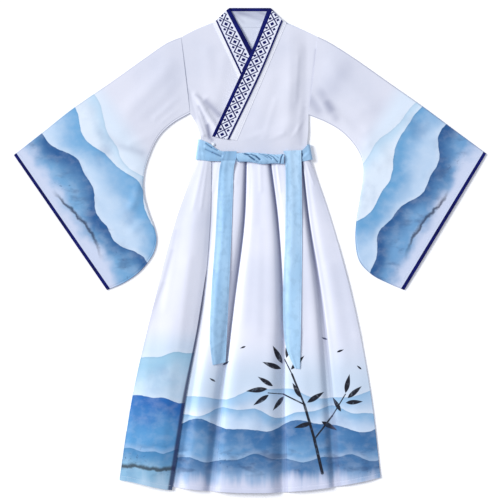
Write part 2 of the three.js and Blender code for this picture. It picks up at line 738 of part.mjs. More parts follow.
function addSash() {
  const reach = TURN_UNDER + GAP;
  const tuckedIn = ([x, y]) => [x - Math.sign(x) * reach, y];
  const [a, b] = [SASH.right.below[0], SASH.left.below.at(-1)].map(tuckedIn);
  const [c, d] = [SASH.right.above[0], SASH.left.above.at(-1)].map(tuckedIn);
  add("sash_back", panel({
    bottom: curve([a, b]), top: curve([c, d]), right: curve([a, c]), left: curve([b, d]),
    height: () => CLOTH / 2, columns: 8, rows: [0, 0.5, 1],
  }), MATERIAL.sash);
  add("sash_right", sashFront(SASH.right, "right"), MATERIAL.sash);
  add("sash_left", sashFront(SASH.left, "left"), MATERIAL.sash);
  add("sash_twist", twist(), MATERIAL.sash);
  add("sash_tail_right", tail(TAILS.right, -1), MATERIAL.sash);
  add("sash_tail_left", tail(TAILS.left, 1), MATERIAL.sash);
}

addBodice();
addSleeves();
addCollar();
addSkirt();
addSash();

// The origin is the middle of the robe's footprint.
robe.position.y = -ORIGIN_Y;

export default robe;
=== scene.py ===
"""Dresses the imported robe: its cloth, prints, trims, stitches and tied sash, laid flat on a surface."""
import math

import bpy
import numpy as np
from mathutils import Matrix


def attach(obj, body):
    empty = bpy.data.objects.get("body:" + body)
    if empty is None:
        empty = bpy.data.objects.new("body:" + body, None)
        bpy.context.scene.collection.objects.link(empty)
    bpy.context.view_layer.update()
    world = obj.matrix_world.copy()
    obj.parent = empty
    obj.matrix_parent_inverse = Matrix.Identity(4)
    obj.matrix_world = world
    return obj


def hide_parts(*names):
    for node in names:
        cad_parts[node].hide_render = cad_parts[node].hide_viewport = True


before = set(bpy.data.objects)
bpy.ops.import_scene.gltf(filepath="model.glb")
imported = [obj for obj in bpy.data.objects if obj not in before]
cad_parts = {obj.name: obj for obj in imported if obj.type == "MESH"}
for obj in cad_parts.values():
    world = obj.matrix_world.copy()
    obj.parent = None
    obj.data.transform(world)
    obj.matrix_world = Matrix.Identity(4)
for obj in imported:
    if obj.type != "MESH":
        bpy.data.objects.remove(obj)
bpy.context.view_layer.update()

# Lengths are millimetres until a mesh is made. The tables are those of the part's solids, but here the
# pleats roll down nearer to their folds, the chest's folds are a little taller and the over front's piping is
# narrower.
MM = 0.001
CLOTH = 1.2
RIBBON = 1.0
GAP = 0.3
LAYER = CLOTH + GAP
WAIST_Y = 262
HEM_Y = -665
ORIGIN_Y = 6
CUFF_W = 8.5
SLEEVE_AIR = 2.6
COLLAR_RISE = 5.0
WAIST_RISE = 1.5
TURN_UNDER = 14
SLEEVE_LENGTH = 566
CUFF_FROM = 1 - CUFF_W / SLEEVE_LENGTH
SLEEVE_TO = CUFF_FROM - GAP / SLEEVE_LENGTH

WAIST = {"right": (-143, WAIST_Y), "left": (165, WAIST_Y)}
ARMPIT = {"right": (-166, 385), "left": (162, 381)}
SHOULDER = {"right": (-191, 596), "left": (188, 597)}
NECK = {"right": (-100, 638), "left": (100, 638)}
NECK_CENTRE = (0, 626)
NECKLINE = [NECK["right"], (-60, 630.3), NECK_CENTRE, (60, 630.3), NECK["left"]]
SIDE = {
    "right": [WAIST["right"], (-138, 289), (-136, 314), (-141, 336), (-149, 357), ARMPIT["right"]],
    "left": [WAIST["left"], (160, 289), (158, 302), (161, 334), (161.5, 360), ARMPIT["left"]],
}
SLOPE = {
    "right": [SHOULDER["right"], (-147, 619), NECK["right"]],
    "left": [SHOULDER["left"], (144, 618), NECK["left"]],
}
# The fronts' crossing edges, from the waist to the neck, and their shoulders
FRONT_EDGE = {
    "under": [(86, WAIST_Y), (72, 330), (28, 435), (-14, 545), (-100, 634)],
    "over": [(-106, WAIST_Y), (-107, 300), (-80, 335), (-30, 430), (30, 555), (98, 634)],
}
FRONT_SLOPE = {
    "under": [SHOULDER["right"], (-147, 619), (-100, 634)],
    "over": [(98, 634), (144, 616), SHOULDER["left"]],
}
SLEEVE_TOP = {
    "right": [SHOULDER["right"], (-233, 578), (-294, 536), (-388, 469), (-490, 399), (-571, 335),
              (-654, 270)],
    "left": [SHOULDER["left"], (222, 580), (288, 538), (379, 474), (476, 406), (565, 340), (654, 274)],
}
SLEEVE_UNDER = {
    "right": [ARMPIT["right"], (-216, 356), (-255, 317), (-281, 262), (-294, 212), (-294, 162), (-281, 112),
              (-264, 65), (-259, 29), (-271, -10), (-305, -53), (-349, -84), (-396, -104)],
    "left": [ARMPIT["left"], (211, 361), (255, 334), (292, 294), (312, 251), (313, 205), (303, 140),
             (294, 84), (292, 26), (303, -25), (338, -62), (382, -85), (427, -104)],
}
COLLAR = {
    "over": {
        "free": [(50, 677), (5, 560), (-47, 447), (-105, 321)],
        "piping": [(60.5, 669.2), (14, 557), (-38.3, 444.2), (-96.3, 319.2)],
        "ribbon": [(90.5, 641), (29, 493), (-58, 312)],
        "seam": [(101, 635.5), (40, 489), (-36, 310)],
    },
    "under": {
        "free": [(-57, 677), (5, 560), (55, 447), (105, 323)],
        "piping": [(-66, 670), (-6.5, 555), (43.5, 442), (93.5, 320)],
        "ribbon": [(-94.5, 641), (-26, 493), (60, 313)],
        "seam": [(-104, 635.5), (-33, 485), (36, 312)],
    },
}
# Shares of the way down the skirt. Each line below has its x and its rise at these levels. A fold laps over
# by lap where shut is 1, and lies open where it is 0.
LEVELS = [0, 0.187, 0.428, 0.729, 1]
FRONT_LINES = [
    dict(line="start", x=[-116, -125, -144, -184, -226], rise=[0, 0, 0, 0, 0]),
    dict(line="valley", x=[-101, -104, -124, -162, -202], rise=[0, 0, 0, 0, 0]),
    dict(line="crest", x=[-66, -72, -98, -140, -172], rise=[3, 9, 12, 12, 11]),
    dict(line="roll", x=[-20, -31, -64, -106, -132], rise=[2.8, 8.4, 10.6, 10.4, 9.5]),
    dict(line="fold", x=[-7, -13, -41, -76, -100], towards=1,
         rise=[4.6, 11, 16, 15, 13], lap=[11, 12, 8, 3, 0], shut=[1, 1, 1, 0.5, 0.15]),
    dict(line="crest", x=[9, 5, -19, -46, -66], rise=[4.6, 11, 16, 15, 13]),
    dict(line="crest", x=[26, 30, 32, 28, 24], rise=[4.6, 11, 16, 15, 13]),
    dict(line="roll", x=[46, 61, 68, 58, 60], rise=[4, 9.6, 13.4, 12.6, 11]),
    dict(line="fold", x=[58, 80, 94, 97, 102], towards=1,
         rise=[3.9, 9, 12, 10, 8], lap=[8, 12, 10, 5, 0], shut=[1, 1, 1, 0.6, 0.15]),
    dict(line="crest", x=[74, 97, 117, 126, 134], rise=[3.9, 9, 12, 10, 8]),
    dict(line="crest", x=[116, 134, 152, 162, 174], rise=[3.9, 9, 12, 10, 8]),
    dict(line="roll", x=[135, 152, 178, 198, 218], rise=[3.4, 7.8, 9.8, 8.4, 6.8]),
    dict(line="fold", x=[146, 166, 200, 228, 248], towards=1,
         rise=[4, 5.6, 6, 5, 4.2], lap=[7, 8, 3, 0, 0], shut=[1, 1, 0.6, 0.2, 0.05]),
    dict(line="crest", x=[157, 187, 227, 260, 284], rise=[4, 5.6, 6, 5, 4.2]),
    dict(line="roll", x=[161.5, 207, 260, 309, 337], rise=[2.6, 3.2, 3.2, 2.8, 2.4]),
    dict(line="seam", x=[165, 223, 282, 333, 361], rise=[0, 0, 0, 0, 0]),
]
SIDE_LINES = [
    dict(line="seam", x=[-143, -205, -263, -324, -361], rise=[0, 0, 0, 0, 0]),
    dict(line="crease", x=[-139, -188, -247, -312, -346], rise=[1.5, 2.5, 3, 3, 3]),
    dict(line="crest", x=[-127, -152, -193, -249, -285], rise=[2.6, 9, 12, 13, 11]),
    dict(line="slope", x=[-114, -124, -150, -201, -239], rise=[2.4, 6, 7.4, 8, 7]),
    dict(line="edge", x=[-107, -111, -130, -179, -216], rise=[1.9, 2.1, 2.1, 2.1, 2.1]),
]
BACK_INSET = 6
# The folds of the sleeves and the chest that the solids have too: two points, half-width and height
RIDGES = {
    "right": [(-455, 368, -300, 262, 24, 3.4), (-303, 190, -326, 128, 12, 3), (-322, 60, -285, 92, 12, 2.2),
              (-215, 520, -330, 400, 26, 2.4)],
    "left": [(205, 402, 318, 300, 16, 3.4), (322, 330, 372, 262, 20, 2.4), (215, 520, 330, 410, 28, 2.2),
             (330, 50, 372, -20, 14, 2.2)],
    "chest": [(-156, 436, -94, 346, 9, 4.4), (-163, 424, -130, 326, 8, 3.6), (120, 360, 20, 300, 20, 1.0),
              (140, 560, 96, 420, 26, 1.8)],
}
SASH = {
    "right": {"above": [(-138, 313), (-113, 302), (-97, 289), (-77, 280), (-42, 278)],
              "below": [(-146, 257), (-113, 253.5), (-77, 252.5), (-42, 251)]},
    "left": {"above": [(104, 272), (136, 280), (147, 285), (160, 299)],
             "below": [(104, 249), (140, 251), (168, 257)]},
}
# Height of the sash's middle across the front, and at the robe's edge at the wearer's right
SASH_Z = 10.2
SASH_EDGE_Z = 7.8
TAIL_AIR = 1.2
TWIST = dict(path=[(-36.9, 263.2), (0, 262.9), (33, 259.7), (69, 258.3), (93.5, 259)],
             half=[12.5, 14.3, 16, 13.4, 15], thick=4.4)
TAILS = {
    "right": {"outer": [(-72, 280), (-74, 266), (-84, 232), (-90, 150), (-96, 35), (-106, -100),
                        (-111, -234), (-103, -311)],
              "inner": [(-37, 280), (-38, 262), (-45, 232), (-48, 150), (-52, 35), (-58, -100), (-64, -234),
                        (-68, -304)]},
    "left": {"outer": [(142, 283), (142, 262), (143, 201), (144, 35), (142, -132), (140, -240),
                       (138, -322)],
             "inner": [(92, 281), (96, 262), (99, 201), (97, 35), (91, -132), (97, -250), (124, -320)]},
}

# Curves and tables


def smooth(x, a, b):
    t = np.clip((np.asarray(x, float) - a) / (b - a), 0, 1)
    return t * t * (3 - 2 * t)


def mix(a, b, t):
    return a + (b - a) * t


def run_through(points, per):
    """Samples of a smooth plane curve through points."""
    p = np.asarray(points, float)
    t = np.linspace(0, 1, per, endpoint=False)[:, None]
    out = []
    for i in range(len(p) - 1):
        a, b = p[i], p[i + 1]
        va = (b - p[max(i - 1, 0)]) / 2
        vb = (p[min(i + 2, len(p) - 1)] - a) / 2
        out.append((2 * a - 2 * b + va + vb) * t**3 + (3 * b - 3 * a - 2 * va - vb) * t**2 + va * t + a)
    return np.vstack([*out, p[-1:]])


class Line:
    """A plane line through one or more smooth runs, read by share of its length."""

    def __init__(self, *runs, per=48):
        self.points = np.vstack([run_through(r, per) for r in runs])
        step = np.hypot(*np.diff(self.points, axis=0).T)
        self.reach = np.concatenate([[0], np.cumsum(step)])
        self.length = self.reach[-1]

    def at(self, t):
        d = np.clip(t, 0, 1) * self.length
        return np.stack([np.interp(d, self.reach, self.points[:, k]) for k in (0, 1)], -1)


def at_level(column, v):
    """A skirt table's value at share v of the way down."""
    t, c = np.array(LEVELS, float), np.array(column, float)
    v = np.clip(np.asarray(v, float), 0, 1)
    i = np.clip(np.searchsorted(t, v, side="right"), 1, len(t) - 1)
    first, last = i == 1, i == len(t) - 1
    before = np.where(first, i, i - 2)
    after = np.where(last, i - 1, np.minimum(i + 1, len(t) - 1))
    half = (t[i] - t[i - 1]) / 2
    wb, wa = half / (t[i - 1] - t[before]), half / (t[after] - t[i])
    p = (v - t[i - 1]) / (t[i] - t[i - 1])
    return (
        c[before] * (-wb * p**3 + 2 * wb * p**2 - wb * p)
        + c[i - 1] * ((1 + wb) * p**3 + (-1.5 - 2 * wb) * p**2 + (-0.5 + wb) * p + 1)
        + c[i] * ((-1 - wa) * p**3 + (1.5 + wa) * p**2 + 0.5 * p)
        + c[after] * (wa * p**3 - wa * p**2)
    )


# Heights of the middle of each layer above the surface


def back_height(y):
    return CLOTH / 2 + LAYER * smooth(y, 190, 252) * (1 - smooth(y, 316, 378))


def ridges(rows, x, y):
    """Soft straight ridges, each from one point to another with a half-width and a height."""
    total = np.zeros(np.broadcast(x, y).shape)
    for x0, y0, x1, y1, half, rise in rows:
        dx, dy = x1 - x0, y1 - y0
        t = np.clip(((x - x0) * dx + (y - y0) * dy) / (dx * dx + dy * dy), 0, 1)
        away = np.hypot(x - x0 - t * dx, y - y0 - t * dy)
        total = total + rise * np.exp(-((away / half) ** 2))
    return total


def grooves(rows, x, y):
    """How deep in the nearest of some creases a point lies, from 0 to the greatest of their heights."""
    depth = np.zeros(np.broadcast(x, y).shape)
    for row in rows:
        depth = np.maximum(depth, ridges([row], x, y))
    return depth


def marked(rows, grid):
    """How deep in the nearest of some creases each point of a grid lies."""
    return grooves(rows, grid[..., 0], grid[..., 1])


def inside_seams(x, y):
    """1 over the chest, fading to 0 towards the side seams, the shoulders and the waist."""
    right = smooth(x - (596 - y) * 0.07, -178, -140)
    left = 1 - smooth(x, 128, 162)
    return right * left * (1 - smooth(y, 560, 600)) * smooth(y, 300, 330)


# Fine creases that only the dressed cloth has: two points, half-width and height
CHEST_FINE = [
    (-178, 466, -122, 402, 7, 1.0), (-172, 430, -130, 378, 5, 0.9),
    (-120, 424, -84, 392, 9, 1.4), (-139, 386, -118, 326, 4, 1.0), (-168, 452, -186, 500, 6, 0.8),
    (-146, 344, -140, 318, 4, 0.8), (-118, 560, -104, 420, 18, 0.9), (-70, 540, -92, 420, 16, 0.8),
    (60, 480, 20, 360, 20, 0.9), (120, 470, 96, 330, 16, 0.9), (146, 420, 128, 300, 8, 0.9),
    (152, 372, 120, 322, 6, 0.8), (92, 330, 30, 292, 8, 0.8), (30, 330, -40, 296, 9, 0.7),
    (152, 560, 148, 440, 10, 0.5), (134, 540, 126, 420, 7, 0.5), (70, 420, 34, 300, 9, 0.6),
]
# Where the chest's folds lie in their own shade
CHEST_SHADE = [
    (-150, 436, -122, 418, 4, 0.25), (-122, 418, -84, 380, 9, 0.6), (-142, 404, -118, 352, 4, 0.4),
    (-118, 352, -112, 318, 6, 0.85), (-116, 330, -106, 312, 6, 0.6), (-172, 450, -150, 372, 4, 0.2),
    (182, 560, 166, 396, 4, 0.3), (150, 400, 140, 300, 5, 0.14),
]
# The soft shade inside the neck, beside the collar
NECK_SHADE = [(-44, 640, -30, 606, 4, 0.4), (-30, 606, -8, 572, 4, 0.45), (34, 622, 16, 580, 3, 0.16)]


def chest_relief(x, y):
    return (ridges(RIDGES["chest"], x, y) + ridges(CHEST_FINE, x, y)) * inside_seams(x, y)


def under_height(x, y):
    return back_height(y) + LAYER + chest_relief(x, y)


def over_height(x, y):
    from_side = 1 - smooth(x, 104, 160)
    from_shoulder = 1 - smooth(y, 566, 650)
    over_layers = mix(WAIST_RISE, COLLAR_RISE, smooth(y, WAIST_Y, 316))
    return back_height(y) + LAYER + 0.2 + over_layers * from_side * from_shoulder + chest_relief(x, y)


# Meshes


def placed(name, data):
    """A new object in the scene."""
    obj = bpy.data.objects.new(name, data)
    bpy.context.scene.collection.objects.link(obj)
    return obj


def mesh_object(name, points, faces, uv, material, edge_angle=40, shade=None):
    """A mesh from points in the tables' frame, with a flat-cloth coordinate for each point.

    shade is how much painted shade each point gets, from 0 to 1, kept as the crease attribute.
    """
    p = np.asarray(points, float) - (0, ORIGIN_Y, 0)
    mesh = bpy.data.meshes.new(name)
    mesh.from_pydata((p * MM).tolist(), [], faces)
    layer = mesh.uv_layers.new(name="cloth")
    corner = np.zeros(len(mesh.loops), np.int32)
    mesh.loops.foreach_get("vertex_index", corner)
    layer.data.foreach_set("uv", (np.asarray(uv, float)[corner] * MM).astype(np.float32).ravel())
    if shade is not None:
        # The crease attribute holds painted shade, which the materials read
        painted_shade = mesh.attributes.new("crease", "FLOAT", "POINT")
        painted_shade.data.foreach_set("value", np.clip(np.asarray(shade, float), 0, 1).astype(np.float32).ravel())
    mesh.shade_smooth()
    mesh.set_sharp_from_angle(angle=math.radians(edge_angle))
    mesh.materials.append(material)
    return placed(name, mesh)


def ring_faces(rows, cols, first=0):
    """The faces between rows of points that each close to a ring."""
    k = np.arange(rows * cols).reshape(rows, cols) + first
    after = np.roll(k, -1, axis=1)
    return np.stack([k[:-1].ravel(), after[:-1].ravel(), after[1:].ravel(), k[1:].ravel()], 1)


def capped(rings, ends):
    """Points and faces of a closed form round rings, with a middle point at each end."""
    rows, cols = rings.shape[:2]
    count = rows * cols
    k = np.arange(cols)
    after, last = np.roll(k, -1), count - cols
    first_end = np.stack([np.full(cols, count), after, k], 1)
    last_end = np.stack([np.full(cols, count + 1), k + last, after + last], 1)
    faces = ring_faces(rows, cols).tolist() + first_end.tolist() + last_end.tolist()
    return np.vstack([rings.reshape(-1, 3), *ends]), faces


def normals_of(grid):
    """Upward normals of a grid whose rows run along +Y and columns along +X."""
    across = np.gradient(grid, axis=1)
    up = np.gradient(grid, axis=0)
    n = np.cross(across, up)
    return n / np.maximum(np.linalg.norm(n, axis=-1, keepdims=True), 1e-9)


def flat_coordinates(grid):
    """Lengths along the cloth of a grid, as a coordinate for its weave."""
    u = np.concatenate([np.zeros((grid.shape[0], 1)), np.cumsum(
        np.linalg.norm(np.diff(grid, axis=1), axis=-1), axis=1)], axis=1)
    v = np.concatenate([np.zeros((1, grid.shape[1])), np.cumsum(
        np.linalg.norm(np.diff(grid, axis=0), axis=-1), axis=0)], axis=0)
    return np.stack([u, v], -1)


def slab(name, grid, material, thickness=CLOTH, uv=None, shade=None):
    """A closed sheet of cloth round a grid of middle points. thickness may differ from point to point."""
    rows, cols = grid.shape[:2]
    half = np.broadcast_to(np.asarray(thickness, float), (rows, cols))[..., None] / 2
    n = normals_of(grid)
    points = np.vstack([(grid + n * half).reshape(-1, 3), (grid - n * half).reshape(-1, 3)])
    k = np.arange(rows * cols).reshape(rows, cols)
    a, b, c, d = k[:-1, :-1].ravel(), k[:-1, 1:].ravel(), k[1:, 1:].ravel(), k[1:, :-1].ravel()
    m = rows * cols
    top = np.stack([a, b, c, d], 1)
    low = np.stack([d, c, b, a], 1) + m
    rim = np.concatenate([k[0, :-1], k[:-1, -1], k[-1, :0:-1], k[:0:-1, 0]])
    after = np.roll(rim, -1)
    edge = np.stack([rim + m, after + m, after, rim], 1)
    flat = flat_coordinates(grid) if uv is None else uv
    flat = flat.reshape(-1, 2)
    faces = np.vstack([top, low, edge]).tolist()
    if shade is not None:
        shade = np.tile(np.asarray(shade, float).reshape(-1), 2)
    return mesh_object(name, points, faces, np.vstack([flat, flat]), material, shade=shade)


def coons(bottom, top, right, left, u, v):
    """Points blended inwards from four lines, u across and v up."""
    pb, pt, pr, pl = bottom.at(u), top.at(u), right.at(v), left.at(v)
    U, V = u[None, :, None], v[:, None, None]
    corners = (1 - U) * (1 - V) * pb[0] + U * (1 - V) * pb[-1] + (1 - U) * V * pt[0] + U * V * pt[-1]
    return (1 - V) * pb[None] + V * pt[None] + (1 - U) * pr[:, None] + U * pl[:, None] - corners


def lifted(plan, height):
    """A plan grid with a height for each point."""
    x, y = plan[..., 0], plan[..., 1]
    return np.dstack([x, y, height(x, y)])


def between(right, left, u, v):
    """A plan grid between two edges that run down from the neck, rows from the bottom up."""
    a, b = right.at(1 - v)[:, None], left.at(1 - v)[:, None]
    return a + (b - a) * u[None, :, None]


def shares(n):
    """n + 1 even shares from 0 to 1."""
    return np.linspace(0, 1, n + 1)


def averaged(rows, count):
    """Rows of numbers, each number the mean of some neighbours."""
    kernel = np.ones(count) / count
    return np.array([np.convolve(np.pad(row, count // 2, mode="edge"), kernel, "valid") for row in rows])


# Materials


def linear(rgb):
    """A screen colour, 0 to 255 for each channel, as the renderer's colour."""
    c = np.asarray(rgb, float) / 255
    c = np.where(c <= 0.04045, c / 12.92, ((c + 0.055) / 1.055) ** 2.4)
    return (*c.tolist(), 1.0)


class Num:
    """A number in a material's node tree, with the usual arithmetic."""

    def __init__(self, graph, socket):
        self.graph, self.socket = graph, socket

    def op(self, kind, *others):
        return self.graph.math(kind, self, *others)

    def __add__(self, other):
        return self.op("ADD", other)

    def __sub__(self, other):
        return self.op("SUBTRACT", other)

    def __rsub__(self, other):
        return self.graph.math("SUBTRACT", other, self)

    def __mul__(self, other):
        return self.op("MULTIPLY", other)

    def __truediv__(self, other):
        return self.op("DIVIDE", other)

    __radd__, __rmul__ = __add__, __mul__

    def abs(self):
        return self.op("ABSOLUTE")

    def sin(self):
        return self.op("SINE")

    def least(self, other):
        return self.op("MINIMUM", other)

    def most(self, other):
        return self.op("MAXIMUM", other)

    def part(self, length):
        """The distance past the last multiple of length."""
        return self.op("FLOORED_MODULO", length)

    def rise(self, a, b):
        """0 before a and 1 past b, smooth between."""
        return self.graph.ramp(self, a, b)


class Graph:
    """A material's node tree, with its shader set up and short calls for the nodes that this script uses."""

    def __init__(self, name, roughness, specular=0.3, sheen=0.0, sheen_roughness=0.5):
        self.material = bpy.data.materials.new(name)
        self.material.use_nodes = True
        self.tree = self.material.node_tree
        self.shader = self.tree.nodes["Principled BSDF"]
        self.shader.inputs["Roughness"].default_value = roughness
        self.shader.inputs["Specular IOR Level"].default_value = specular
        self.shader.inputs["Sheen Weight"].default_value = sheen
        self.shader.inputs["Sheen Roughness"].default_value = sheen_roughness

    def node(self, kind, **settings):
        made = self.tree.nodes.new(kind)
        for key, value in settings.items():
            setattr(made, key, value)
        return made

    def plug(self, value, socket):
        if isinstance(value, Num):
            value = value.socket
        if isinstance(value, bpy.types.NodeSocket):
            self.tree.links.new(value, socket)
        else:
            socket.default_value = value

    def math(self, kind, *values):
        made = self.node("ShaderNodeMath", operation=kind)
        for value, socket in zip(values, made.inputs):
            self.plug(value, socket)
        return Num(self, made.outputs[0])

    def ramp(self, value, a, b):
        made = self.node("ShaderNodeMapRange", interpolation_type="SMOOTHSTEP")
        if a > b:
            made.inputs["To Min"].default_value, made.inputs["To Max"].default_value = 1.0, 0.0
            a, b = b, a
        self.plug(value, made.inputs["Value"])
        self.plug(float(a), made.inputs["From Min"])
        self.plug(float(b), made.inputs["From Max"])
        return Num(self, made.outputs["Result"])

    def blend(self, share, a, b):
        """Colour a, turning into b as share goes from 0 to 1."""
        made = self.node("ShaderNodeMix", data_type="RGBA")
        self.plug(share, made.inputs[0])
        self.plug(a, made.inputs[6])
        self.plug(b, made.inputs[7])
        return made.outputs[2]

    def place(self):
        """Where a point is on the robe, in the tables' millimetres."""
        coordinate = self.node("ShaderNodeTexCoord")
        split = self.node("ShaderNodeSeparateXYZ")
        self.plug(coordinate.outputs["Object"], split.inputs[0])
        x, y, z = [Num(self, s) / MM for s in split.outputs]
        return x, y + float(ORIGIN_Y), z

    def cloth(self):
        """Where a point is on its flat cloth, in millimetres."""
        coordinate = self.node("ShaderNodeUVMap", uv_map="cloth")
        split = self.node("ShaderNodeSeparateXYZ")
        self.plug(coordinate.outputs["UV"], split.inputs[0])
        return Num(self, split.outputs[0]) / MM, Num(self, split.outputs[1]) / MM

    def noise(self, scale, detail=3.0, stretch=(1, 1, 1)):
        """Smooth noise from 0 to 1; scale is in repeats per metre."""
        coordinate = self.node("ShaderNodeTexCoord")
        mapping = self.node("ShaderNodeMapping")
        mapping.inputs["Scale"].default_value = stretch
        self.plug(coordinate.outputs["Object"], mapping.inputs[0])
        made = self.node("ShaderNodeTexNoise")
        made.inputs["Scale"].default_value = scale
        made.inputs["Detail"].default_value = detail
        self.plug(mapping.outputs[0], made.inputs["Vector"])
        return Num(self, made.outputs["Fac"])

    def weave(self, pitch, depth, diagonal=False):
        """Threads over and under: a relief on the flat cloth, in millimetres."""
        u, v = self.cloth()
        turn = 2 * math.pi / pitch
        if diagonal:
            threads = ((u + v) * turn).sin() * 0.7 + ((u - v) * turn * 0.5).sin() * 0.3
        else:
            threads = (u * turn).sin() * (v * turn).sin()
        return threads * depth

    def bump(self, height):
        made = self.node("ShaderNodeBump")
        made.inputs["Strength"].default_value = 1.0
        made.inputs["Distance"].default_value = MM
        self.plug(height, made.inputs["Height"])
        self.plug(made.outputs[0], self.shader.inputs["Normal"])

    def with_painted_shade(self, colour, tone):
        """The colour with painted shade, darker down in the creases that the mesh marks."""
        made = self.node("ShaderNodeAttribute", attribute_name="crease")
        return self.blend(Num(self, made.outputs["Fac"]), colour, linear(tone))

    def paint(self, colour):
        self.plug(colour, self.shader.inputs["Base Color"])
        return self.material


WHITE = linear((226, 228, 239))
WHITE_LOW = linear((214, 218, 232))
MIST = linear((236, 242, 250))


def white_ground(graph, shade=1.0):
    """White cloth with the faint unevenness of its dye and pressing."""
    # shade scales both whites: painted light where it is above 1, painted shade where it is below 1
    high, low = [(*(np.array(tone[:3]) * shade).tolist(), 1.0) for tone in (WHITE, WHITE_LOW)]
    return graph.blend(graph.noise(5.0, 4.0).rise(0.35, 0.75), high, low)


def chiffon(name):
    """The robe's plain-woven cloth, before it is dyed or printed."""
    g = Graph(name, 0.6, 0.25, 0.25, 0.5)
    g.bump(g.weave(0.55, 0.02) + g.noise(260, 2.0) * 0.03)
    return g


def white_material(name, shade=1.0):
    g = chiffon(name)
    # Painted shade: the white turns lavender-grey down in the creases
    return g.paint(g.with_painted_shade(white_ground(g, shade), (138, 142, 168)))


def band_material():
    g = Graph("white collar band", 0.55, 0.3, 0.2)
    g.bump(g.weave(0.7, 0.03))
    return g.paint(g.blend(g.noise(9.0, 3.0), linear((250, 251, 255)), linear((232, 235, 248))))


def navy_material():
    g = Graph("navy satin binding", 0.6, 0.12, 0.01, 0.4)
    g.bump(g.weave(0.8, 0.05, diagonal=True))
    tone = g.noise(30.0).rise(0.3, 0.7)
    return g.paint(g.blend(tone, linear((5, 9, 78)), linear((10, 20, 104))))


RIBBON_WIDE = 41.7


def ribbon_material():
    """A jacquard ribbon: a chain of lozenges, each with a small square in it, and a navy edge."""
    g = Graph("woven lozenge ribbon", 0.7, 0.14, 0.03)
    u, v = g.cloth()
    repeat, middle, half, edge_at = 28.0, 17.2, 14.2, RIBBON_WIDE - 5.4
    side = (u - middle) / half
    across = side.abs()
    along = (v.part(repeat) - repeat / 2).abs() / (repeat / 2)
    lozenge = across + along
    outline = (lozenge - 1.0).abs().rise(0.23, 0.12)
    square = lozenge.rise(0.47, 0.41)
    shifted = ((v + repeat / 2).part(repeat) - repeat / 2).abs() / (repeat / 2)
    small = ((across - 0.76).abs() + shifted).rise(0.37, 0.31)
    tick = ((side - 1.22).abs() * 1.3 + (shifted - 0.36).abs()).rise(0.17, 0.11)
    edge = u.rise(edge_at, edge_at + 0.5)
    ink = (outline * 0.97).most(square).most(small).most(tick * 0.5).most(edge)
    ground = g.blend(g.noise(40.0, 2.0), linear((247, 249, 255)), linear((222, 228, 248)))
    g.bump(g.weave(0.6, 0.03) + ink * 0.12)
    return g.paint(g.blend(ink, ground, linear((4, 10, 88))))


def sash_material(name, shade_above=None, high=(170, 208, 238), low=(148, 191, 226)):
    """Light blue satin with painted shade in its marked creases. It is a little darker above a height where
    another fold lies over it, as painted shade.
    """
    g = Graph(name, 0.5, 0.35, 0.3, 0.4)
    crushed = g.noise(75.0, 4.0, (1, 0.7, 1))
    g.bump(g.weave(0.45, 0.02) + g.noise(150, 2.0, (1, 0.25, 1)) * 0.05 + crushed * 0.25)
    tone = g.noise(14.0, 4.0, (1.6, 0.5, 1)).rise(0.3, 0.72)
    colour = g.blend(tone, linear(high), linear(low))
    colour = g.blend(crushed.rise(0.46, 0.66) * 0.3, colour, linear([c * 0.86 for c in low]))
    # Painted shade down in the creases
    colour = g.with_painted_shade(colour, (34, 84, 128))
    if shade_above is not None:
        _, y, _ = g.place()
        colour = g.blend(y.rise(shade_above, shade_above + 3) * 0.6, colour, linear((128, 170, 206)))
    return g.paint(colour)


def lens(x, y, row):
    """1 inside a slim leaf and 0 outside it."""
    cx, cy, angle, half_length, half_width = row
    c, s = math.cos(math.radians(angle)), math.sin(math.radians(angle))
    along = (((x - cx) * (c / half_length)) + ((y - cy) * (s / half_length))).most(-1.2).least(1.2)
    across = (((y - cy) * (c / half_width)) - ((x - cx) * (s / half_width))).abs()
    room = (1.0 - along * along) * (1.0 - along * 0.4)
    return (room - across).rise(-0.02, 0.16)


def stem(x, y, row):
    """1 on a straight stem between two points, of a half-width."""
    x0, y0, x1, y1, half = row
    dx, dy = x1 - x0, y1 - y0
    square = dx * dx + dy * dy
    t = (((x - x0) * (dx / square)) + ((y - y0) * (dy / square))).most(0.0).least(1.0)
    ax, ay = (x - x0) - t * dx, (y - y0) - t * dy
    return (ax * ax + ay * ay).op("SQRT").rise(half * 1.25, half * 0.8)


def tiers(g, ground, p, q, rows, wander, cloud):
    """Layers of washed colour with wavy upper edges, one in front of another.

    p runs along the cloth's edge, and q is the distance from it.
    """
    colour = ground
    for level, waves, top, low, depth in rows:
        edge = wander + level
        for height, length, phase in waves:
            edge = edge + (p * (2 * math.pi / length) + phase).sin() * height
        below = edge - q
        faded = below * (1 / depth) + (cloud - 0.5) * 1.5
        tone = g.blend(faded.rise(0.0, 1.0), linear(top), linear(low))
        tone = g.blend(below.rise(8.0, 0.0) * 0.3, tone, linear([c * 0.84 for c in top]))
        colour = g.blend(below.rise(-18.0, 0.0) * 0.2, colour, MIST)
        colour = g.blend(below.rise(0.0, 1.6), colour, tone)
    return colour


# Layers of the printed waves: distance from the cloth's edge, swells (height, length, phase), the colours at
# the top and below, and how far down one turns into the other
FRONT_TIERS = [
    (276, [(15, 330, 0.4), (4, 120, 1.9)], (158, 197, 230), (212, 227, 244), 58),
    (226, [(12, 260, 2.6), (5, 104, 0.3)], (140, 185, 222), (194, 216, 240), 44),
    (186, [(15, 300, 4.6), (5, 132, 2.2)], (52, 108, 162), (108, 158, 202), 118),
    (96, [(8, 240, 1.2), (4, 90, 0.7)], (62, 112, 162), (140, 174, 210), 70),
]
SIDE_TIERS = [
    (384, [(7, 210, 0.6), (2, 70, 1.4)], (156, 199, 224), (196, 219, 238), 110),
    (262, [(9, 230, 3.5), (3, 84, 0.2)], (28, 102, 178), (88, 154, 206), 120),
    (118, [(6, 180, 1.0), (3, 66, 2.0)], (74, 138, 188), (134, 180, 210), 60),
]
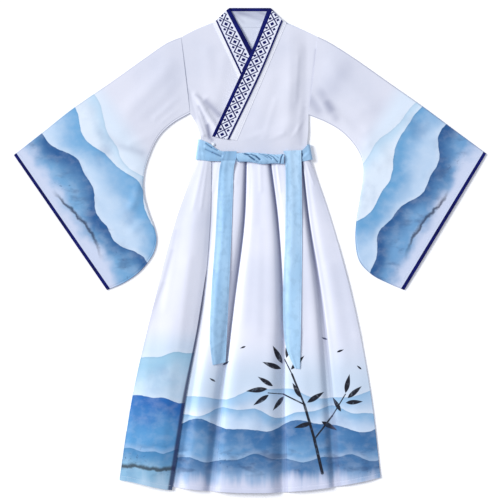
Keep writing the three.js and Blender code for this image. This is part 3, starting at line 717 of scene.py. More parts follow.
# Distances are from the cuff, towards the shoulder.
SLEEVE_TIERS = {
    "right": [
        (262, [(20, 420, 2.2), (4, 120, 0.4)], (194, 222, 242), (222, 235, 247), 46),
        (214, [(22, 380, 3.6), (5, 130, 1.3)], (112, 171, 216), (198, 221, 243), 96),
        (116, [(22, 340, 5.2), (5, 110, 2.4)], (36, 92, 150), (118, 170, 212), 66),
    ],
    "left": [
        (262, [(20, 420, 5.0), (4, 120, 1.4)], (194, 222, 242), (222, 235, 247), 46),
        (210, [(22, 380, 0.6), (5, 130, 2.3)], (104, 163, 208), (190, 214, 238), 96),
        (118, [(22, 340, 2.0), (5, 110, 0.4)], (34, 88, 144), (112, 162, 206), 66),
    ],
}
# A leafy sprig in ink: stems (two points and a half-width), and leaves (middle, direction, half-length and
# half-width)
STEMS = [
    (200, -610, 178, -516, 4.2), (178, -516, 150, -420, 3.6), (150, -420, 116, -336, 2.7),
    (178, -516, 228, -452, 2.3), (150, -420, 92, -392, 2.0), (228, -452, 264, -392, 1.6),
    (92, -392, 50, -388, 1.3), (116, -336, 96, -296, 1.6),
]
LEAVES = [
    (76, -282, 118, 30, 7.4), (106, -262, 80, 31, 7.0), (132, -304, 46, 28, 6.8), (60, -312, 160, 29, 7.4),
    (18, -380, 186, 31, 7.6), (30, -408, 214, 27, 6.8), (42, -356, 148, 26, 6.6), (78, -418, 232, 26, 6.6),
    (182, -400, 32, 29, 7.4), (128, -380, 118, 24, 6.2), (270, -362, 78, 28, 7.2), (290, -386, 40, 27, 6.8),
    (289, -414, 4, 25, 6.6), (240, -420, 120, 24, 6.0), (220, -480, 330, 26, 6.8), (146, -478, 196, 27, 6.8),
]
DRIFTING = [
    (-66, -306, 30, 11, 3.0), (-104, -352, 150, 10, 2.8), (250, -272, 20, 11, 3.0), (206, -238, 160, 9, 2.6),
    (-20, -262, 200, 9, 2.6), (302, -318, 140, 9, 2.6),
]


# Painted shade: the printed cloth's colour down in its creases
PRINT_PAINTED_SHADE = (96, 104, 142)


def washed(g, colour, cloud):
    """The uneven pooling and the fibres of a washed-on dye."""
    grain = g.noise(36.0, 6.0, (1, 1.25, 1))
    colour = g.blend(grain.rise(0.4, 0.75) * 0.1, colour, linear((246, 250, 255)))
    dark = g.noise(8.0, 6.0, (1.3, 1, 1)).rise(0.48, 0.7)
    return g.blend(dark * cloud.rise(0.3, 0.6) * 0.34, colour, linear((54, 108, 162)))


def spatter(g, place, colour, tone, strength):
    """Loose blotches and specks of ink, where place is 1."""
    blot = g.noise(17.0, 6.0, (0.8, 1.8, 1)).rise(0.53, 0.66)
    colour = g.blend(blot * place * strength, colour, tone)
    specks = g.noise(120.0, 3.0).rise(0.6, 0.68) * g.noise(10.0, 2.0).rise(0.52, 0.62)
    return g.blend(specks * place * strength, colour, tone)


def skirt_material(name, rows, fade, front=False):
    """White cloth with the front's or the side panel's print, measured up from the hem."""
    g = chiffon(name)
    x, y, _ = g.place()
    q = y - HEM_Y
    cloud = g.noise(7.0, 5.0, (0.8, 1.5, 1))
    wander = (g.noise(9.0, 3.0, (1, 0.4, 1)) - 0.5) * 16.0 + (g.noise(70.0, 3.0, (1, 0.5, 1)) - 0.5) * 4.0
    # The skirt's white is painted brighter than the bodice's, the front's more than the side panel's: painted
    # light
    colour = g.blend(q.rise(*fade), white_ground(g, 1.13 if front else 1.06), linear((208, 224, 241)))
    colour = tiers(g, colour, x, q, rows, wander, cloud)
    printed = q.rise(rows[0][0] + 20, rows[0][0] - 60)
    colour = g.blend(printed, colour, washed(g, colour, cloud))
    low_band = q.rise(34, 66) * q.rise(150, 96)
    colour = spatter(g, low_band, colour, linear((44, 70, 112)), 0.5)
    streak = g.noise(36.0, 4.0, (1, 0.1, 1))
    near_hem = (q + (streak - 0.5) * 80.0 + (cloud - 0.5) * 60.0).rise(60, 14)
    colour = g.blend(near_hem * 0.92, colour, linear((216, 219, 238) if front else (176, 206, 228)))
    if front:
        ink = None
        for row in STEMS:
            ink = stem(x, y, row) if ink is None else ink.most(stem(x, y, row))
        for row in [*LEAVES, *DRIFTING]:
            ink = ink.most(lens(x, y, row))
        dry = g.noise(90.0).rise(0.28, 0.5)
        colour = g.blend(ink * (dry * 0.2 + 0.8), colour, linear((14, 18, 34)))
    else:
        rough = (g.noise(46.0, 5.0, (1, 0.6, 1)) - 0.5) * 20.0
        line = wander * 0.6 + rough + 68.0 + (x * (2 * math.pi / 190)).sin() * 5.0 - q
        stroke = line.rise(-12.0, -2.0) * line.rise(7.0, 1.0)
        colour = g.blend(stroke * 0.85, colour, linear((46, 54, 60)))
        # Painted shade beside the side panel's front edge
        colour = g.blend(edge_shade(x, y) * 0.86, colour, linear((26, 34, 84)))
    return g.paint(g.with_painted_shade(colour, PRINT_PAINTED_SHADE))


def edge_shade(x, y):
    """Painted shade along the side panel's front edge, wider towards the hem."""
    at_top, at_hem = (-131.0, -135.0), (-216.0, float(HEM_Y))
    lean = (at_hem[0] - at_top[0]) / (at_hem[1] - at_top[1])
    edge = (y - at_top[1]) * lean + at_top[0] - 3.0
    wide = y.rise(-190, -430) * 10.5 + 0.6
    return ((edge - x) / wide).rise(1.2, 0.55)


def sleeve_material(side):
    """The sleeve's waves run along its cuff."""
    g = chiffon("sleeve print " + side)
    top, low = SLEEVE_TOP[side][-1], SLEEVE_UNDER[side][-1]
    length = math.dist(top, low)
    along = ((low[0] - top[0]) / length, (low[1] - top[1]) / length)
    inward = (-along[1], along[0]) if side == "right" else (along[1], -along[0])
    x, y, _ = g.place()
    dx, dy = x - float(top[0]), y - float(top[1])
    p = dx * along[0] + dy * along[1]
    q = dx * inward[0] + dy * inward[1]
    cloud = g.noise(7.0, 5.0)
    wander = (g.noise(9.0, 3.0) - 0.5) * 22.0 + (g.noise(70.0, 3.0) - 0.5) * 4.0
    colour = g.blend(q.rise(330, 270), white_ground(g), linear((222, 235, 248)))
    colour = tiers(g, colour, p, q, SLEEVE_TIERS[side], wander, cloud)
    colour = g.blend(q.rise(290, 220), colour, washed(g, colour, cloud))
    misty = g.noise(13.0, 5.0)
    colour = g.blend((q + (misty - 0.5) * 90.0).rise(66, 22) * 0.92, colour, linear((212, 220, 240)))
    rough = (g.noise(52.0, 5.0) - 0.5) * 22.0
    line = rough + 44.0 + (p * (2 * math.pi / 260) + 1.0).sin() * 9.0 - q
    reach = (p / length).rise(0.3, 0.42) * (p / length).rise(0.86, 0.66)
    stroke = line.rise(-9.0, -1.0) * line.rise(6.0, 0.0) * reach
    colour = g.blend(stroke * 0.82, colour, linear((34, 44, 72)))
    colour = spatter(g, q.rise(30, 70) * q.rise(120, 80), colour, linear((48, 78, 124)), 0.45)
    return g.paint(g.with_painted_shade(colour, PRINT_PAINTED_SHADE))


def thread_material(name, tone):
    g = Graph(name, 0.5, 0.4, 0.2)
    darker = [c * 0.9 for c in tone]
    return g.paint(g.blend(g.noise(900.0, 2.0), linear(tone), linear(darker)))


def snap_material():
    g = Graph("pale snap", 0.28, 0.5)
    g.bump(g.noise(300, 2.0) * 0.02)
    return g.paint(g.blend(g.noise(200, 2.0), linear((214, 224, 236)), linear((232, 238, 246))))


MATERIAL = {
    "white": white_material("white chiffon over satin"),
    # The inside of the robe: the same white, darker and bluer as painted shade
    "inside": white_material("inside of the robe in painted shade", (0.92, 0.95, 0.97)),
    "band": band_material(),
    "navy": navy_material(),
    "ribbon": ribbon_material(),
    "sash": sash_material("light blue satin"),
    # The near end is darker above where the sash lies over it: painted shade
    "sash_tail_right": sash_material("light blue satin end", 253.0),
    # The far end is painted lighter than the rest of the same satin: painted light
    "sash_tail_left": sash_material("light blue satin far end", None, (188, 221, 247), (166, 206, 237)),
    "thread": thread_material("white thread", (232, 235, 246)),
    "blue_thread": thread_material("pale blue thread", (150, 190, 224)),
    "snap": snap_material(),
    "front": skirt_material("skirt print front", FRONT_TIERS, (440, 300), front=True),
    "side": skirt_material("skirt print side", SIDE_TIERS, (470, 390)),
    "sleeve_right": sleeve_material("right"),
    "sleeve_left": sleeve_material("left"),
}


def dress(obj, node):
    """Hides the piece's CAD node, so that the piece stands for it, and lets it ride on the robe's one body.
    """
    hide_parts(node)
    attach(obj, "root")


# Stitches

SEWN = {}
STITCH = dict(pitch=3.2, length=2.3, radius=0.24, sides=6, lift=0.08)


def sew(slot, points, normals, half=CLOTH / 2):
    """Notes a line of stitches along points on a cloth's middle, to be made on its upper face."""
    SEWN.setdefault(slot, []).append(np.asarray(points) + np.asarray(normals) * (half + STITCH["lift"]))


def sew_columns(slot, grid, columns, half=CLOTH / 2):
    n = normals_of(grid)
    for i in columns:
        sew(slot, grid[:, i], n[:, i], half)


def sew_row(slot, grid, row):
    sew(slot, grid[row], normals_of(grid)[row])


def stitches(slot, material):
    """One object with all the stitches of a slot: short six-sided capsules end to end, with small gaps."""
    pitch, length, radius, sides = [STITCH[key] for key in ("pitch", "length", "radius", "sides")]
    profile = [(-0.5, 0.35), (-0.36, 1.0), (0.36, 1.0), (0.5, 0.35)]
    angles = np.arange(sides) * 2 * math.pi / sides
    points, faces = [], []
    for line in SEWN[slot]:
        reach = np.concatenate([[0], np.cumsum(np.linalg.norm(np.diff(line, axis=0), axis=1))])
        for middle in np.arange(pitch, reach[-1] - pitch, pitch):
            a, c, b = [np.array([np.interp(middle + d, reach, line[:, k]) for k in range(3)])
                       for d in (-length / 2, 0, length / 2)]
            along = (b - a) / max(np.linalg.norm(b - a), 1e-6)
            side = np.cross(along, (0, 0, 1.0))
            side /= max(np.linalg.norm(side), 1e-6)
            up = np.cross(side, along)
            k = len(points)
            for share, wide in profile:
                for angle in angles:
                    spread = side * math.cos(angle) + up * math.sin(angle)
                    points.append(c + along * share * length + spread * wide * radius)
            rings = [k + ring * sides for ring in range(len(profile))]
            for low, high in zip(rings[:-1], rings[1:]):
                for i in range(sides):
                    j = (i + 1) % sides
                    faces.append([low + i, low + j, high + j, high + i])
            faces.append([rings[0] + i for i in reversed(range(sides))])
            faces.append([rings[-1] + i for i in range(sides)])
    points = np.array(points)
    piece = mesh_object("stitches_" + slot, points, faces, points[:, :2], material, 80)
    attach(piece, "root")


# Bodice


def bodice():
    armhole = {side: [ARMPIT[side], SHOULDER[side]] for side in ("right", "left")}
    right, left = [Line(SIDE[side], armhole[side]) for side in ("right", "left")]
    waist = Line([WAIST["right"], WAIST["left"]])
    shoulders = Line(SLOPE["right"], NECKLINE, SLOPE["left"][::-1])
    plan = coons(waist, shoulders, right, left, shares(90), shares(110))
    shade = marked(NECK_SHADE, plan)
    back = slab("back_cloth", lifted(plan, lambda x, y: back_height(y)), MATERIAL["inside"], shade=shade)
    dress(back, "bodice_back")

    edge = {side: Line(points) for side, points in FRONT_EDGE.items()}
    slope = {side: Line(points) for side, points in FRONT_SLOPE.items()}
    waist = Line([WAIST["right"], FRONT_EDGE["under"][0]])
    plan = coons(waist, slope["under"], right, edge["under"], shares(120), shares(160))
    grid = lifted(plan, under_height)
    under = slab("under_front_cloth", grid, MATERIAL["white"], shade=marked(CHEST_SHADE, grid))
    dress(under, "front_under")

    waist = Line([FRONT_EDGE["over"][0], WAIST["left"]])
    plan = coons(waist, slope["over"], edge["over"], left, shares(140), shares(180))
    grid = lifted(plan, over_height)
    over = slab("over_front_cloth", grid, MATERIAL["white"], shade=marked(CHEST_SHADE, grid))
    dress(over, "front_over")


# Sleeves


ARMHOLE_GAP = 0.05
# Columns of points across one face of the sleeve
SLEEVE_AROUND = 110


def sleeve_rings(side, start, stop, steps, around):
    """Rings of points round a flattened sleeve, on its outer and its inner face, and the shade of each."""
    top, under = Line(SLEEVE_TOP[side]), Line(SLEEVE_UNDER[side])
    t = np.linspace(start, stop, steps + 1)
    a, b = top.at(t), under.at(t)
    outward = -ARMHOLE_GAP if side == "right" else ARMHOLE_GAP
    a[t == 0, 0] += outward
    b[t == 0, 0] += outward
    fade = smooth(t, 0, 0.12) * (1 - smooth(t, 0.86, 0.97))
    air = (SLEEVE_AIR * mix(0.5, 1.0, fade))[:, None]
    reach = np.linalg.norm(b - a, axis=1)[:, None]
    mid = CLOTH + 0.25
    faces, shades = [], []
    for inset in (0.0, CLOTH):
        w = 0.5 - 0.5 * np.cos(np.linspace(0, math.pi, around + 1))[None]
        w = inset / reach + w * (1 - 2 * inset / reach)
        plan = a[:, None] + (b - a)[:, None] * w[..., None]
        x, y = plan[..., 0], plan[..., 1]
        from_edge = np.minimum(w, 1 - w) * reach - inset
        round_off = np.sqrt(1 - (1 - np.clip(from_edge / (mid - inset), 0, 1)) ** 2)
        relief = (ridges(RIDGES[side], x, y) + ridges(SLEEVE_FINE[side], x, y)) * fade[:, None]
        seam = 0.7 * np.exp(-(((1 - w) * reach - 4.5) / 1.6) ** 2)
        crown = air * np.sin(math.pi * w) ** 0.5 + relief * np.sin(math.pi * w) - seam
        roof = mid + (mid - inset + crown * (from_edge > 0)) * round_off
        floor = mid - (mid - inset) * round_off
        lower = np.dstack([plan, floor])
        upper = np.dstack([plan, roof])[:, ::-1]
        faces.append(np.concatenate([lower, upper[:, 1:-1]], axis=1))
        # Painted shade along the rolled edges and in the folds
        rim = SLEEVE_RIM[0] * np.exp(-((from_edge / SLEEVE_RIM[1]) ** 2))
        painted_shade = np.maximum(rim, grooves(SLEEVE_SHADE[side], x, y))[:, ::-1]
        shades.append(np.concatenate([rim, painted_shade[:, 1:-1]], axis=1))
    return faces, shades


def tube(name, rings, material, side):
    """A closed mesh of a cloth tube that is open at both ends."""
    (outer, inner), shades = rings
    rows, cols = outer.shape[:2]
    m = rows * cols
    k = np.arange(cols)
    after = np.roll(k, -1)
    first = np.stack([k + m, after + m, after, k], 1)
    last = np.stack([k, after, after + m, k + m], 1) + m - cols
    faces = np.vstack([ring_faces(rows, cols), ring_faces(rows, cols, m)[:, ::-1], first, last])
    if side == "left":
        faces = faces[:, ::-1]
    flat = flat_coordinates(outer).reshape(-1, 2)
    points = np.vstack([outer.reshape(-1, 3), inner.reshape(-1, 3)])
    shade = np.concatenate([each.ravel() for each in shades])
    return mesh_object(name, points, faces.tolist(), np.vstack([flat, flat]), material, shade=shade)


# Painted shade of the rolled edges: how deep and how wide
SLEEVE_RIM = (0.5, 2.2)
# Where the sleeves' folds lie in their own shade, and their fine creases
SLEEVE_SHADE = {
    "right": [(-415, 331, -360, 295, 12, 0.16), (-360, 295, -300, 276, 10, 0.2)],
    "left": [(268, 512, 208, 430, 26, 0.14), (200, 440, 215, 408, 17, 0.28), (213, 414, 223, 396, 14, 0.5),
             (224, 394, 238, 372, 11, 0.26), (166, 424, 188, 394, 15, 0.3)],
}
SLEEVE_FINE = {
    "right": [
        (-205, 470, -300, 380, 16, 0.9), (-196, 430, -262, 372, 8, 1.0), (-190, 404, -244, 360, 5, 0.9),
        (-260, 330, -330, 300, 10, 0.9), (-292, 240, -340, 220, 8, 0.9), (-300, 150, -350, 110, 9, 0.8),
        (-420, 400, -360, 340, 20, 0.9), (-300, 20, -350, -30, 10, 0.9), (-480, 300, -400, 180, 26, 0.9),
        (-560, 230, -500, 120, 24, 0.7),
    ],
    "left": [
        (198, 470, 300, 390, 16, 0.9), (190, 424, 262, 366, 8, 1.0), (186, 398, 240, 356, 5, 0.9),
        (268, 330, 330, 300, 10, 0.9), (312, 262, 352, 230, 8, 0.9), (318, 190, 360, 140, 9, 0.8),
        (430, 400, 360, 330, 20, 0.9), (318, 20, 360, -30, 10, 0.9), (490, 300, 410, 180, 26, 0.9),
        (570, 230, 500, 120, 24, 0.7),
    ],
}


def sleeves():
    for side in ("right", "left"):
        rings = sleeve_rings(side, 0, SLEEVE_TO, 92, SLEEVE_AROUND)
        upper = rings[0][0][-2, SLEEVE_AROUND + 3:-2]
        sew("sleeve_print", upper, np.broadcast_to((0, 0, 1.0), upper.shape), 0)
        piece = tube("sleeve_cloth_" + side, rings, MATERIAL["sleeve_" + side], side)
        dress(piece, "sleeve_" + side)
        rings = sleeve_rings(side, CUFF_FROM, 1, 6, 90)
        piece = tube("cuff_binding_" + side, rings, MATERIAL["navy"], side)
        dress(piece, "cuff_" + side)


# Collar


# Where the ribbon's visible part starts under each piping, and its pattern's phase and stretch along it
RIBBON_FROM = {"over": 2.5, "under": -2.0}
RIBBON_ALONG = {"over": (2.8, 1.0), "under": (-223.9, 1.022)}
COLLAR_ROWS = 200
BAND_COLUMNS = 40
# The column of the band's stitches, counted from its seam, and how thin the band is pressed there
BAND_STITCHED = 3
BAND_THIN = 0.45


def collar():
    for side in ("over", "under"):
        front = over_height if side == "over" else under_height
        edges = {key: Line(points) for key, points in COLLAR[side].items()}
        inward = 1 if side == "over" else -1
        shifted = Line([(x + inward * GAP * 1.2, y) for x, y in COLLAR[side]["piping"]])

        def strip(rail_a, rail_b, columns, rise, crown):
            pair = (rail_a, rail_b) if side == "over" else (rail_b, rail_a)
            u = shares(columns)
            plan = between(*pair, u, shares(COLLAR_ROWS))
            grid = lifted(plan, lambda x, y: front(x, y) + LAYER + 0.4 + rise)
            grid[..., 2] += crown * (1 - (2 * u - 1) ** 2)[None]
            flat = flat_coordinates(grid)
            flat[..., 0] = mix(RIBBON_FROM[side], RIBBON_WIDE, u if side == "over" else 1 - u)[None]
            shift, stretch = RIBBON_ALONG[side]
            flat[..., 1] = (flat[..., 1] + shift) * stretch
            return grid, flat

        step = (CLOTH + RIBBON) / 2 + GAP
        grid, flat = strip(edges["free"], edges["seam"], BAND_COLUMNS, 0, 0)
        across = shares(BAND_COLUMNS)
        to_seam = smooth(across if side == "over" else 1 - across, 0.76, 1)[None]
        grid[..., 2] -= 0.95 * to_seam
        stitched = BAND_COLUMNS - BAND_STITCHED if side == "over" else BAND_STITCHED
        sew_columns("white_band", grid, (stitched,), 0.3)
        thin = np.broadcast_to(mix(CLOTH, BAND_THIN, to_seam), grid.shape[:2])
        band = slab("collar_band_" + side, grid, MATERIAL["band"], thin, flat)
        dress(band, "collar_" + side)
        grid, flat = strip(edges["free"], edges["piping"], 10, step, 0.45)
        piping = slab("collar_piping_" + side, grid, MATERIAL["navy"], RIBBON, flat)
        dress(piping, "piping_" + side)
        grid, flat = strip(shifted, edges["ribbon"], 20, step, 0.15)
        ribbon = slab("collar_ribbon_" + side, grid, MATERIAL["ribbon"], RIBBON, flat)
        dress(ribbon, "ribbon_" + side)


NECK_CREASES = [(-52, 664, -18, 636, 4, 0.5), (-30, 662, 40, 640, 5, 0.7), (-8, 652, 58, 646, 4, 0.6),
                (24, 664, 60, 650, 4, 0.5), (-64, 652, -40, 632, 4, 0.4)]


NECK_ROWS = 24
COLLAR_TOP = 677
PIPING_WIDE = 9


def collar_behind():
    """The collar behind the neck, with its inside up."""
    def grid(low, high, middle, rows=NECK_ROWS, columns=90):
        u = shares(columns)
        seam = NECK_CENTRE[1] + 1 + 12 * (2 * u - 1) ** 2
        out = np.zeros((rows + 1, columns + 1, 3))
        for j, share in enumerate(shares(rows)):
            y = mix(np.maximum(seam, low), high, share)
            half = mix(57, 98, (COLLAR_TOP - y) / 40)
            out[j] = np.stack([mix(-half, half, u), y, np.full_like(y, middle)], -1)
        return out

    from_y = COLLAR_TOP - PIPING_WIDE
    ribbon = slab("neck_ribbon", grid(0, from_y - GAP, RIBBON / 2), MATERIAL["ribbon"], RIBBON)
    dress(ribbon, "ribbon_back")
    lining = grid(0, from_y - GAP, RIBBON + GAP + CLOTH / 2)
    up = shares(NECK_ROWS)
    from_seam = smooth(up, 0, 0.3)[:, None]
    creases = ridges(NECK_CREASES, lining[..., 0], lining[..., 1])
    lining[..., 2] += creases * from_seam - 0.2 * (1 - from_seam)
    lining[..., 1] -= 4 * (1 - smooth(up, 0, 0.15)[:, None])
    thin = np.broadcast_to(mix(0.35, CLOTH, from_seam), lining.shape[:2])
    # Painted shade in the lining's creases and just under the piping
    near_piping = smooth(lining[..., 1], 644, 664)
    painted_shade = 0.45 * grooves(NECK_CREASES, lining[..., 0] + 3, lining[..., 1] - 3) + 0.42 * near_piping
    band = slab("neck_band", lining, MATERIAL["inside"], thin, shade=painted_shade)
    dress(band, "collar_back")
    thick = RIBBON + GAP + CLOTH
    piping = slab("neck_piping", grid(from_y, COLLAR_TOP, thick / 2, 8), MATERIAL["navy"], thick)
    dress(piping, "piping_back")


# Skirt


def front_hem(x):
    reach = np.where(x > 20, 341.0, 247.0)
    lift = np.where(x > 20, 42.0, 18.0)
    return HEM_Y + lift * ((x - 20) / reach) ** 2


def side_hem(x):
    return mix(-630.0, -658.0, smooth(x, -375, -205))


def sections(lines, v):
    """The points across a pleated panel, as x and rise, for each share of the way down."""
    points = []
    for row in lines:
        x, rise = at_level(row["x"], v), at_level(row["rise"], v)
        if row["line"] != "fold":
            points.append(np.stack([x, rise], -1))
            continue
        lap = np.maximum(at_level(row["lap"], v), 1.7)
        shut = np.clip(at_level(row["shut"], v), 0, 1)
        zero = np.zeros_like(x)
        folded = [(zero - 2.5, zero), (lap - 1.6, zero), (lap, zero + 1), (lap - 1.6, zero + 2),
                  (zero + 1.6, zero + 2.3), (zero, zero + 3.3), (zero + 1.6, zero + 4.3),
                  (zero + 9, np.maximum(4.3, 0.72 * rise))]
        opened = [(-15, 0), (-9, 0.05), (-4, 0.15), (0, 0.28), (4, 0.42), (8, 0.56), (12, 0.7), (19, 0.88)]
        cloth = [
            np.stack([x + row["towards"] * mix(ox, fx, shut), mix(oz * rise, fz, shut)], -1)
            for (fx, fz), (ox, oz) in zip(folded, opened)
        ]
        points.extend(cloth if row["towards"] > 0 else cloth[::-1])
    return np.stack(points, 1)


def through(points, each):
    """Smooth curves through rows of points, with some samples for each stretch."""
    first = 2 * points[:, :1] - points[:, 1:2]
    last = 2 * points[:, -1:] - points[:, -2:-1]
    p = np.concatenate([first, points, last], 1)
    out = []
    for i in range(1, p.shape[1] - 2):
        p0, p1, p2, p3 = p[:, i - 1], p[:, i], p[:, i + 1], p[:, i + 2]
        d0, d1, d2 = [np.sqrt(np.linalg.norm(b - a, axis=-1, keepdims=True))
                      for a, b in ((p0, p1), (p1, p2), (p2, p3))]
        d0, d2 = np.maximum(d0, 1e-3), np.maximum(d2, 1e-3)
        t1 = ((p1 - p0) / d0 - (p2 - p0) / (d0 + d1) + (p2 - p1) / d1) * d1
        t2 = ((p2 - p1) / d1 - (p3 - p1) / (d1 + d2) + (p3 - p2) / d2) * d1
        for t in np.arange(each) / each:
            out.append(p1 + t1 * t + (3 * (p2 - p1) - 2 * t1 - t2) * t**2 + (2 * (p1 - p2) + t1 + t2) * t**3)
    out.append(p[:, -2])
    made = np.stack(out, 1)
    made[..., 1] = np.maximum(made[..., 1], 0)
    return made


SKIRT_FINE = [
    (-64, 262, -84, 150, 5, 1.2), (-50, 262, -66, 180, 4, 1.0), (-30, 262, -40, 190, 4, 1.0),
    (4, 262, -4, 150, 5, 0.9), (28, 262, 30, 170, 5, 0.9), (74, 262, 84, 170, 4, 1.0),
    (88, 262, 100, 140, 5, 1.1), (122, 262, 140, 160, 4, 0.9), (150, 262, 176, 190, 3, 0.7),
    (-88, 262, -104, 170, 4, 0.9), (0, 120, -20, -180, 16, 0.9), (28, 60, 20, -220, 12, 0.8),
    (128, 60, 140, -200, 14, 0.9), (220, -40, 262, -300, 16, 1.0), (250, 20, 300, -240, 12, 0.8),
    (-96, 0, -112, -260, 12, 0.8), (-40, -300, -56, -640, 22, 1.3), (6, -380, 4, -650, 18, 1.3),
    (150, -340, 168, -640, 20, 1.2), (196, -420, 214, -640, 12, 1.0), (290, -380, 318, -630, 18, 1.1),
    (-146, -360, -176, -650, 14, 1.1),
]
SIDE_FINE = [
    (-128, 250, -158, 120, 6, 0.8), (-118, 250, -136, 120, 5, 0.7), (-200, 60, -236, -160, 10, 0.8),
    (-168, -20, -196, -260, 12, 0.9), (-262, -140, -300, -420, 14, 1.0), (-216, -320, -246, -600, 14, 1.0),
    (-318, -420, -338, -620, 10, 0.8),
]


def skirt_height(y, rise):
    return back_height(y) + LAYER + 0.05 + rise


# Rows lie closer together below the waist and at the hem
SKIRT_ROWS = np.concatenate([
    np.linspace(0, 0.12, 30, endpoint=False),
    np.linspace(0.12, 0.975, 130, endpoint=False),
    np.linspace(0.975, 1, 22),
])
HEM_TURNED = 12
HEM_ROW = int(np.argmin(np.abs((1 - SKIRT_ROWS[::-1]) * (WAIST_Y - HEM_Y) - HEM_TURNED)))


def hem_fold(from_hem):
    """The turned-up hem: a slightly raised band with a stitched line above it."""
    return 0.35 * (1 - smooth(from_hem, 11, 13)) - 0.3 * np.exp(-(((from_hem - HEM_TURNED) / 1.3) ** 2))


def skirt_panel(lines, hem, each, fine):
    v = SKIRT_ROWS[::-1]
    across = through(sections(lines, v), each)
    x, rise = across[..., 0], across[..., 1]
    low = hem(x)
    y = mix(WAIST_Y - GAP, low, v[:, None])
    z = skirt_height(y, rise) + ridges(fine, x, y) + hem_fold(y - low)
    return np.dstack([x, y, z])


# How much painted shade the cloth gets at the bottom of each fold, and beside the side panel's edge, at each
# level
FOLD_SHADE = [1.0, 0.95, 0.72, 0.36, 0.22]
EDGE_SHADE = [0.1, 0.1, 0.08, 0.1, 0.2]
# How far a fold's shade reaches before it, and past it where it is open and where it is shut, and how far
# the edge's reaches
SHADE_REACH = dict(before=8.0, open=9.0, shut=2.0, edge=2.4)


def fold_shade(grid):
    """The shade of the front's narrow valleys beside the folds and beside the side panel's edge."""
    x, y = grid[..., 0], grid[..., 1]
    v = (WAIST_Y - y) / (WAIST_Y - front_hem(x))
    shade = np.zeros_like(x)
    for row in FRONT_LINES:
        if row["line"] == "fold":
            away = at_level(row["x"], v) - 3 - x
            shut = np.clip(at_level(row["shut"], v), 0, 1)
            past = mix(SHADE_REACH["open"], SHADE_REACH["shut"], shut)
            wide = np.where(away > 0, SHADE_REACH["before"], past)
            shade = np.maximum(shade, at_level(FOLD_SHADE, v) * np.exp(-((away / wide) ** 2)))
    away = x - at_level(SIDE_LINES[-1]["x"], v)
    return np.maximum(shade, at_level(EDGE_SHADE, v) * np.exp(-((away / SHADE_REACH["edge"]) ** 2)))


# Where the side panel's own long fold lies in its shade
SIDE_SHADE = [(-206, 60, -216, 7, 5, 0.14), (-216, 7, -241, -84, 6, 0.24), (-241, -84, -269, -159, 7, 0.3),
              (-269, -159, -302, -270, 9, 0.26), (-302, -270, -320, -360, 8, 0.14)]


class SkirtTop:
    """How high the front skirt's cloth rises, read at any point and bridged over a ribbon's width."""

    PITCH = 2.0

    def __init__(self):
        self.v = np.linspace(0, 1, 160)
        self.x = np.arange(-380, 381, self.PITCH)
        across = through(sections(FRONT_LINES, self.v), 3)
        rows = []
        for line in across:
            top = np.zeros_like(self.x)
            for (xa, za), (xb, zb) in zip(line[:-1], line[1:]):
                if abs(xb - xa) < 1e-6:
                    continue
                lo, hi = sorted((xa, xb))
                inside = (self.x >= lo - 1) & (self.x <= hi + 1)
                t = np.clip((self.x[inside] - xa) / (xb - xa), 0, 1)
                top[inside] = np.maximum(top[inside], mix(za, zb, t))
            rows.append(top)
        raw = np.array(rows)
        self.table = averaged(np.maximum(raw, averaged(raw, 23)), 5)

    def at(self, x, y):
        v = np.clip((WAIST_Y - y) / (WAIST_Y - front_hem(x)), 0, 1) * (len(self.v) - 1)
        i = np.clip((x - self.x[0]) / self.PITCH, 0, len(self.x) - 1.001)
        j0, i0 = np.minimum(v.astype(int), len(self.v) - 2), i.astype(int)
        fv, fi = v - j0, i - i0
        t = self.table
        return mix(mix(t[j0, i0], t[j0, i0 + 1], fi), mix(t[j0 + 1, i0], t[j0 + 1, i0 + 1], fi), fv)


def skirt():
    def seam(row, hem):
        v = np.array(LEVELS)
        x = at_level(row["x"], v)
        return Line(np.stack([x, mix(WAIST_Y - GAP, hem(x) + BACK_INSET, v)], -1), per=60)

    right, left = seam(SIDE_LINES[0], side_hem), seam(FRONT_LINES[-1], front_hem)
    waist = Line([right.at(0), left.at(0)])
    hem = Line([right.at(1), (-190, -648), (20, HEM_Y + BACK_INSET), (200, -644), left.at(1)])
    plan = coons(waist, hem, right, left, shares(60), shares(70))[::-1]
    grid = lifted(plan, lambda x, y: back_height(y))
    back = slab("skirt_back_cloth", grid, MATERIAL["front"])
    dress(back, "skirt_back")
    grid = skirt_panel(FRONT_LINES, front_hem, 7, SKIRT_FINE)
    sew_row("skirt_print", grid, HEM_ROW)
    front = slab("skirt_front_cloth", grid, MATERIAL["front"], shade=fold_shade(grid))
    dress(front, "skirt_front")
    grid = skirt_panel(SIDE_LINES, side_hem, 16, SIDE_FINE)
    sew_row("skirt_print", grid, HEM_ROW)
    panel = slab("skirt_side_cloth", grid, MATERIAL["side"], shade=marked(SIDE_SHADE, grid))
    dress(panel, "skirt_side")


# Sash


def sash_height(x):
    return mix(SASH_EDGE_Z, SASH_Z, smooth(x, WAIST["right"][0], WAIST["right"][0] + 34))


SASH_CREASES = {
    "right": [(-121, 301, -105, 290, 2.2, -2.4), (-105, 290, -89, 282, 2.0, -1.7),
              (-124, 292, -82, 274, 3.6, 1.3), (-122, 285, -102, 276, 2.0, -2.0),
              (-102, 276, -79, 266, 2.2, -2.5), (-128, 272, -84, 257, 4.5, 0.9),
              (-134, 300, -128, 262, 4.0, 0.6), (-96, 290, -84, 284, 2.0, 0.8)],
    "left": [(138, 279, 157, 298, 2.4, 1.5), (140, 284, 143, 268, 2.2, -2.8),
             (143, 268, 142, 254, 2.0, -1.6), (146, 262, 164, 276, 4.0, 0.8)],
}


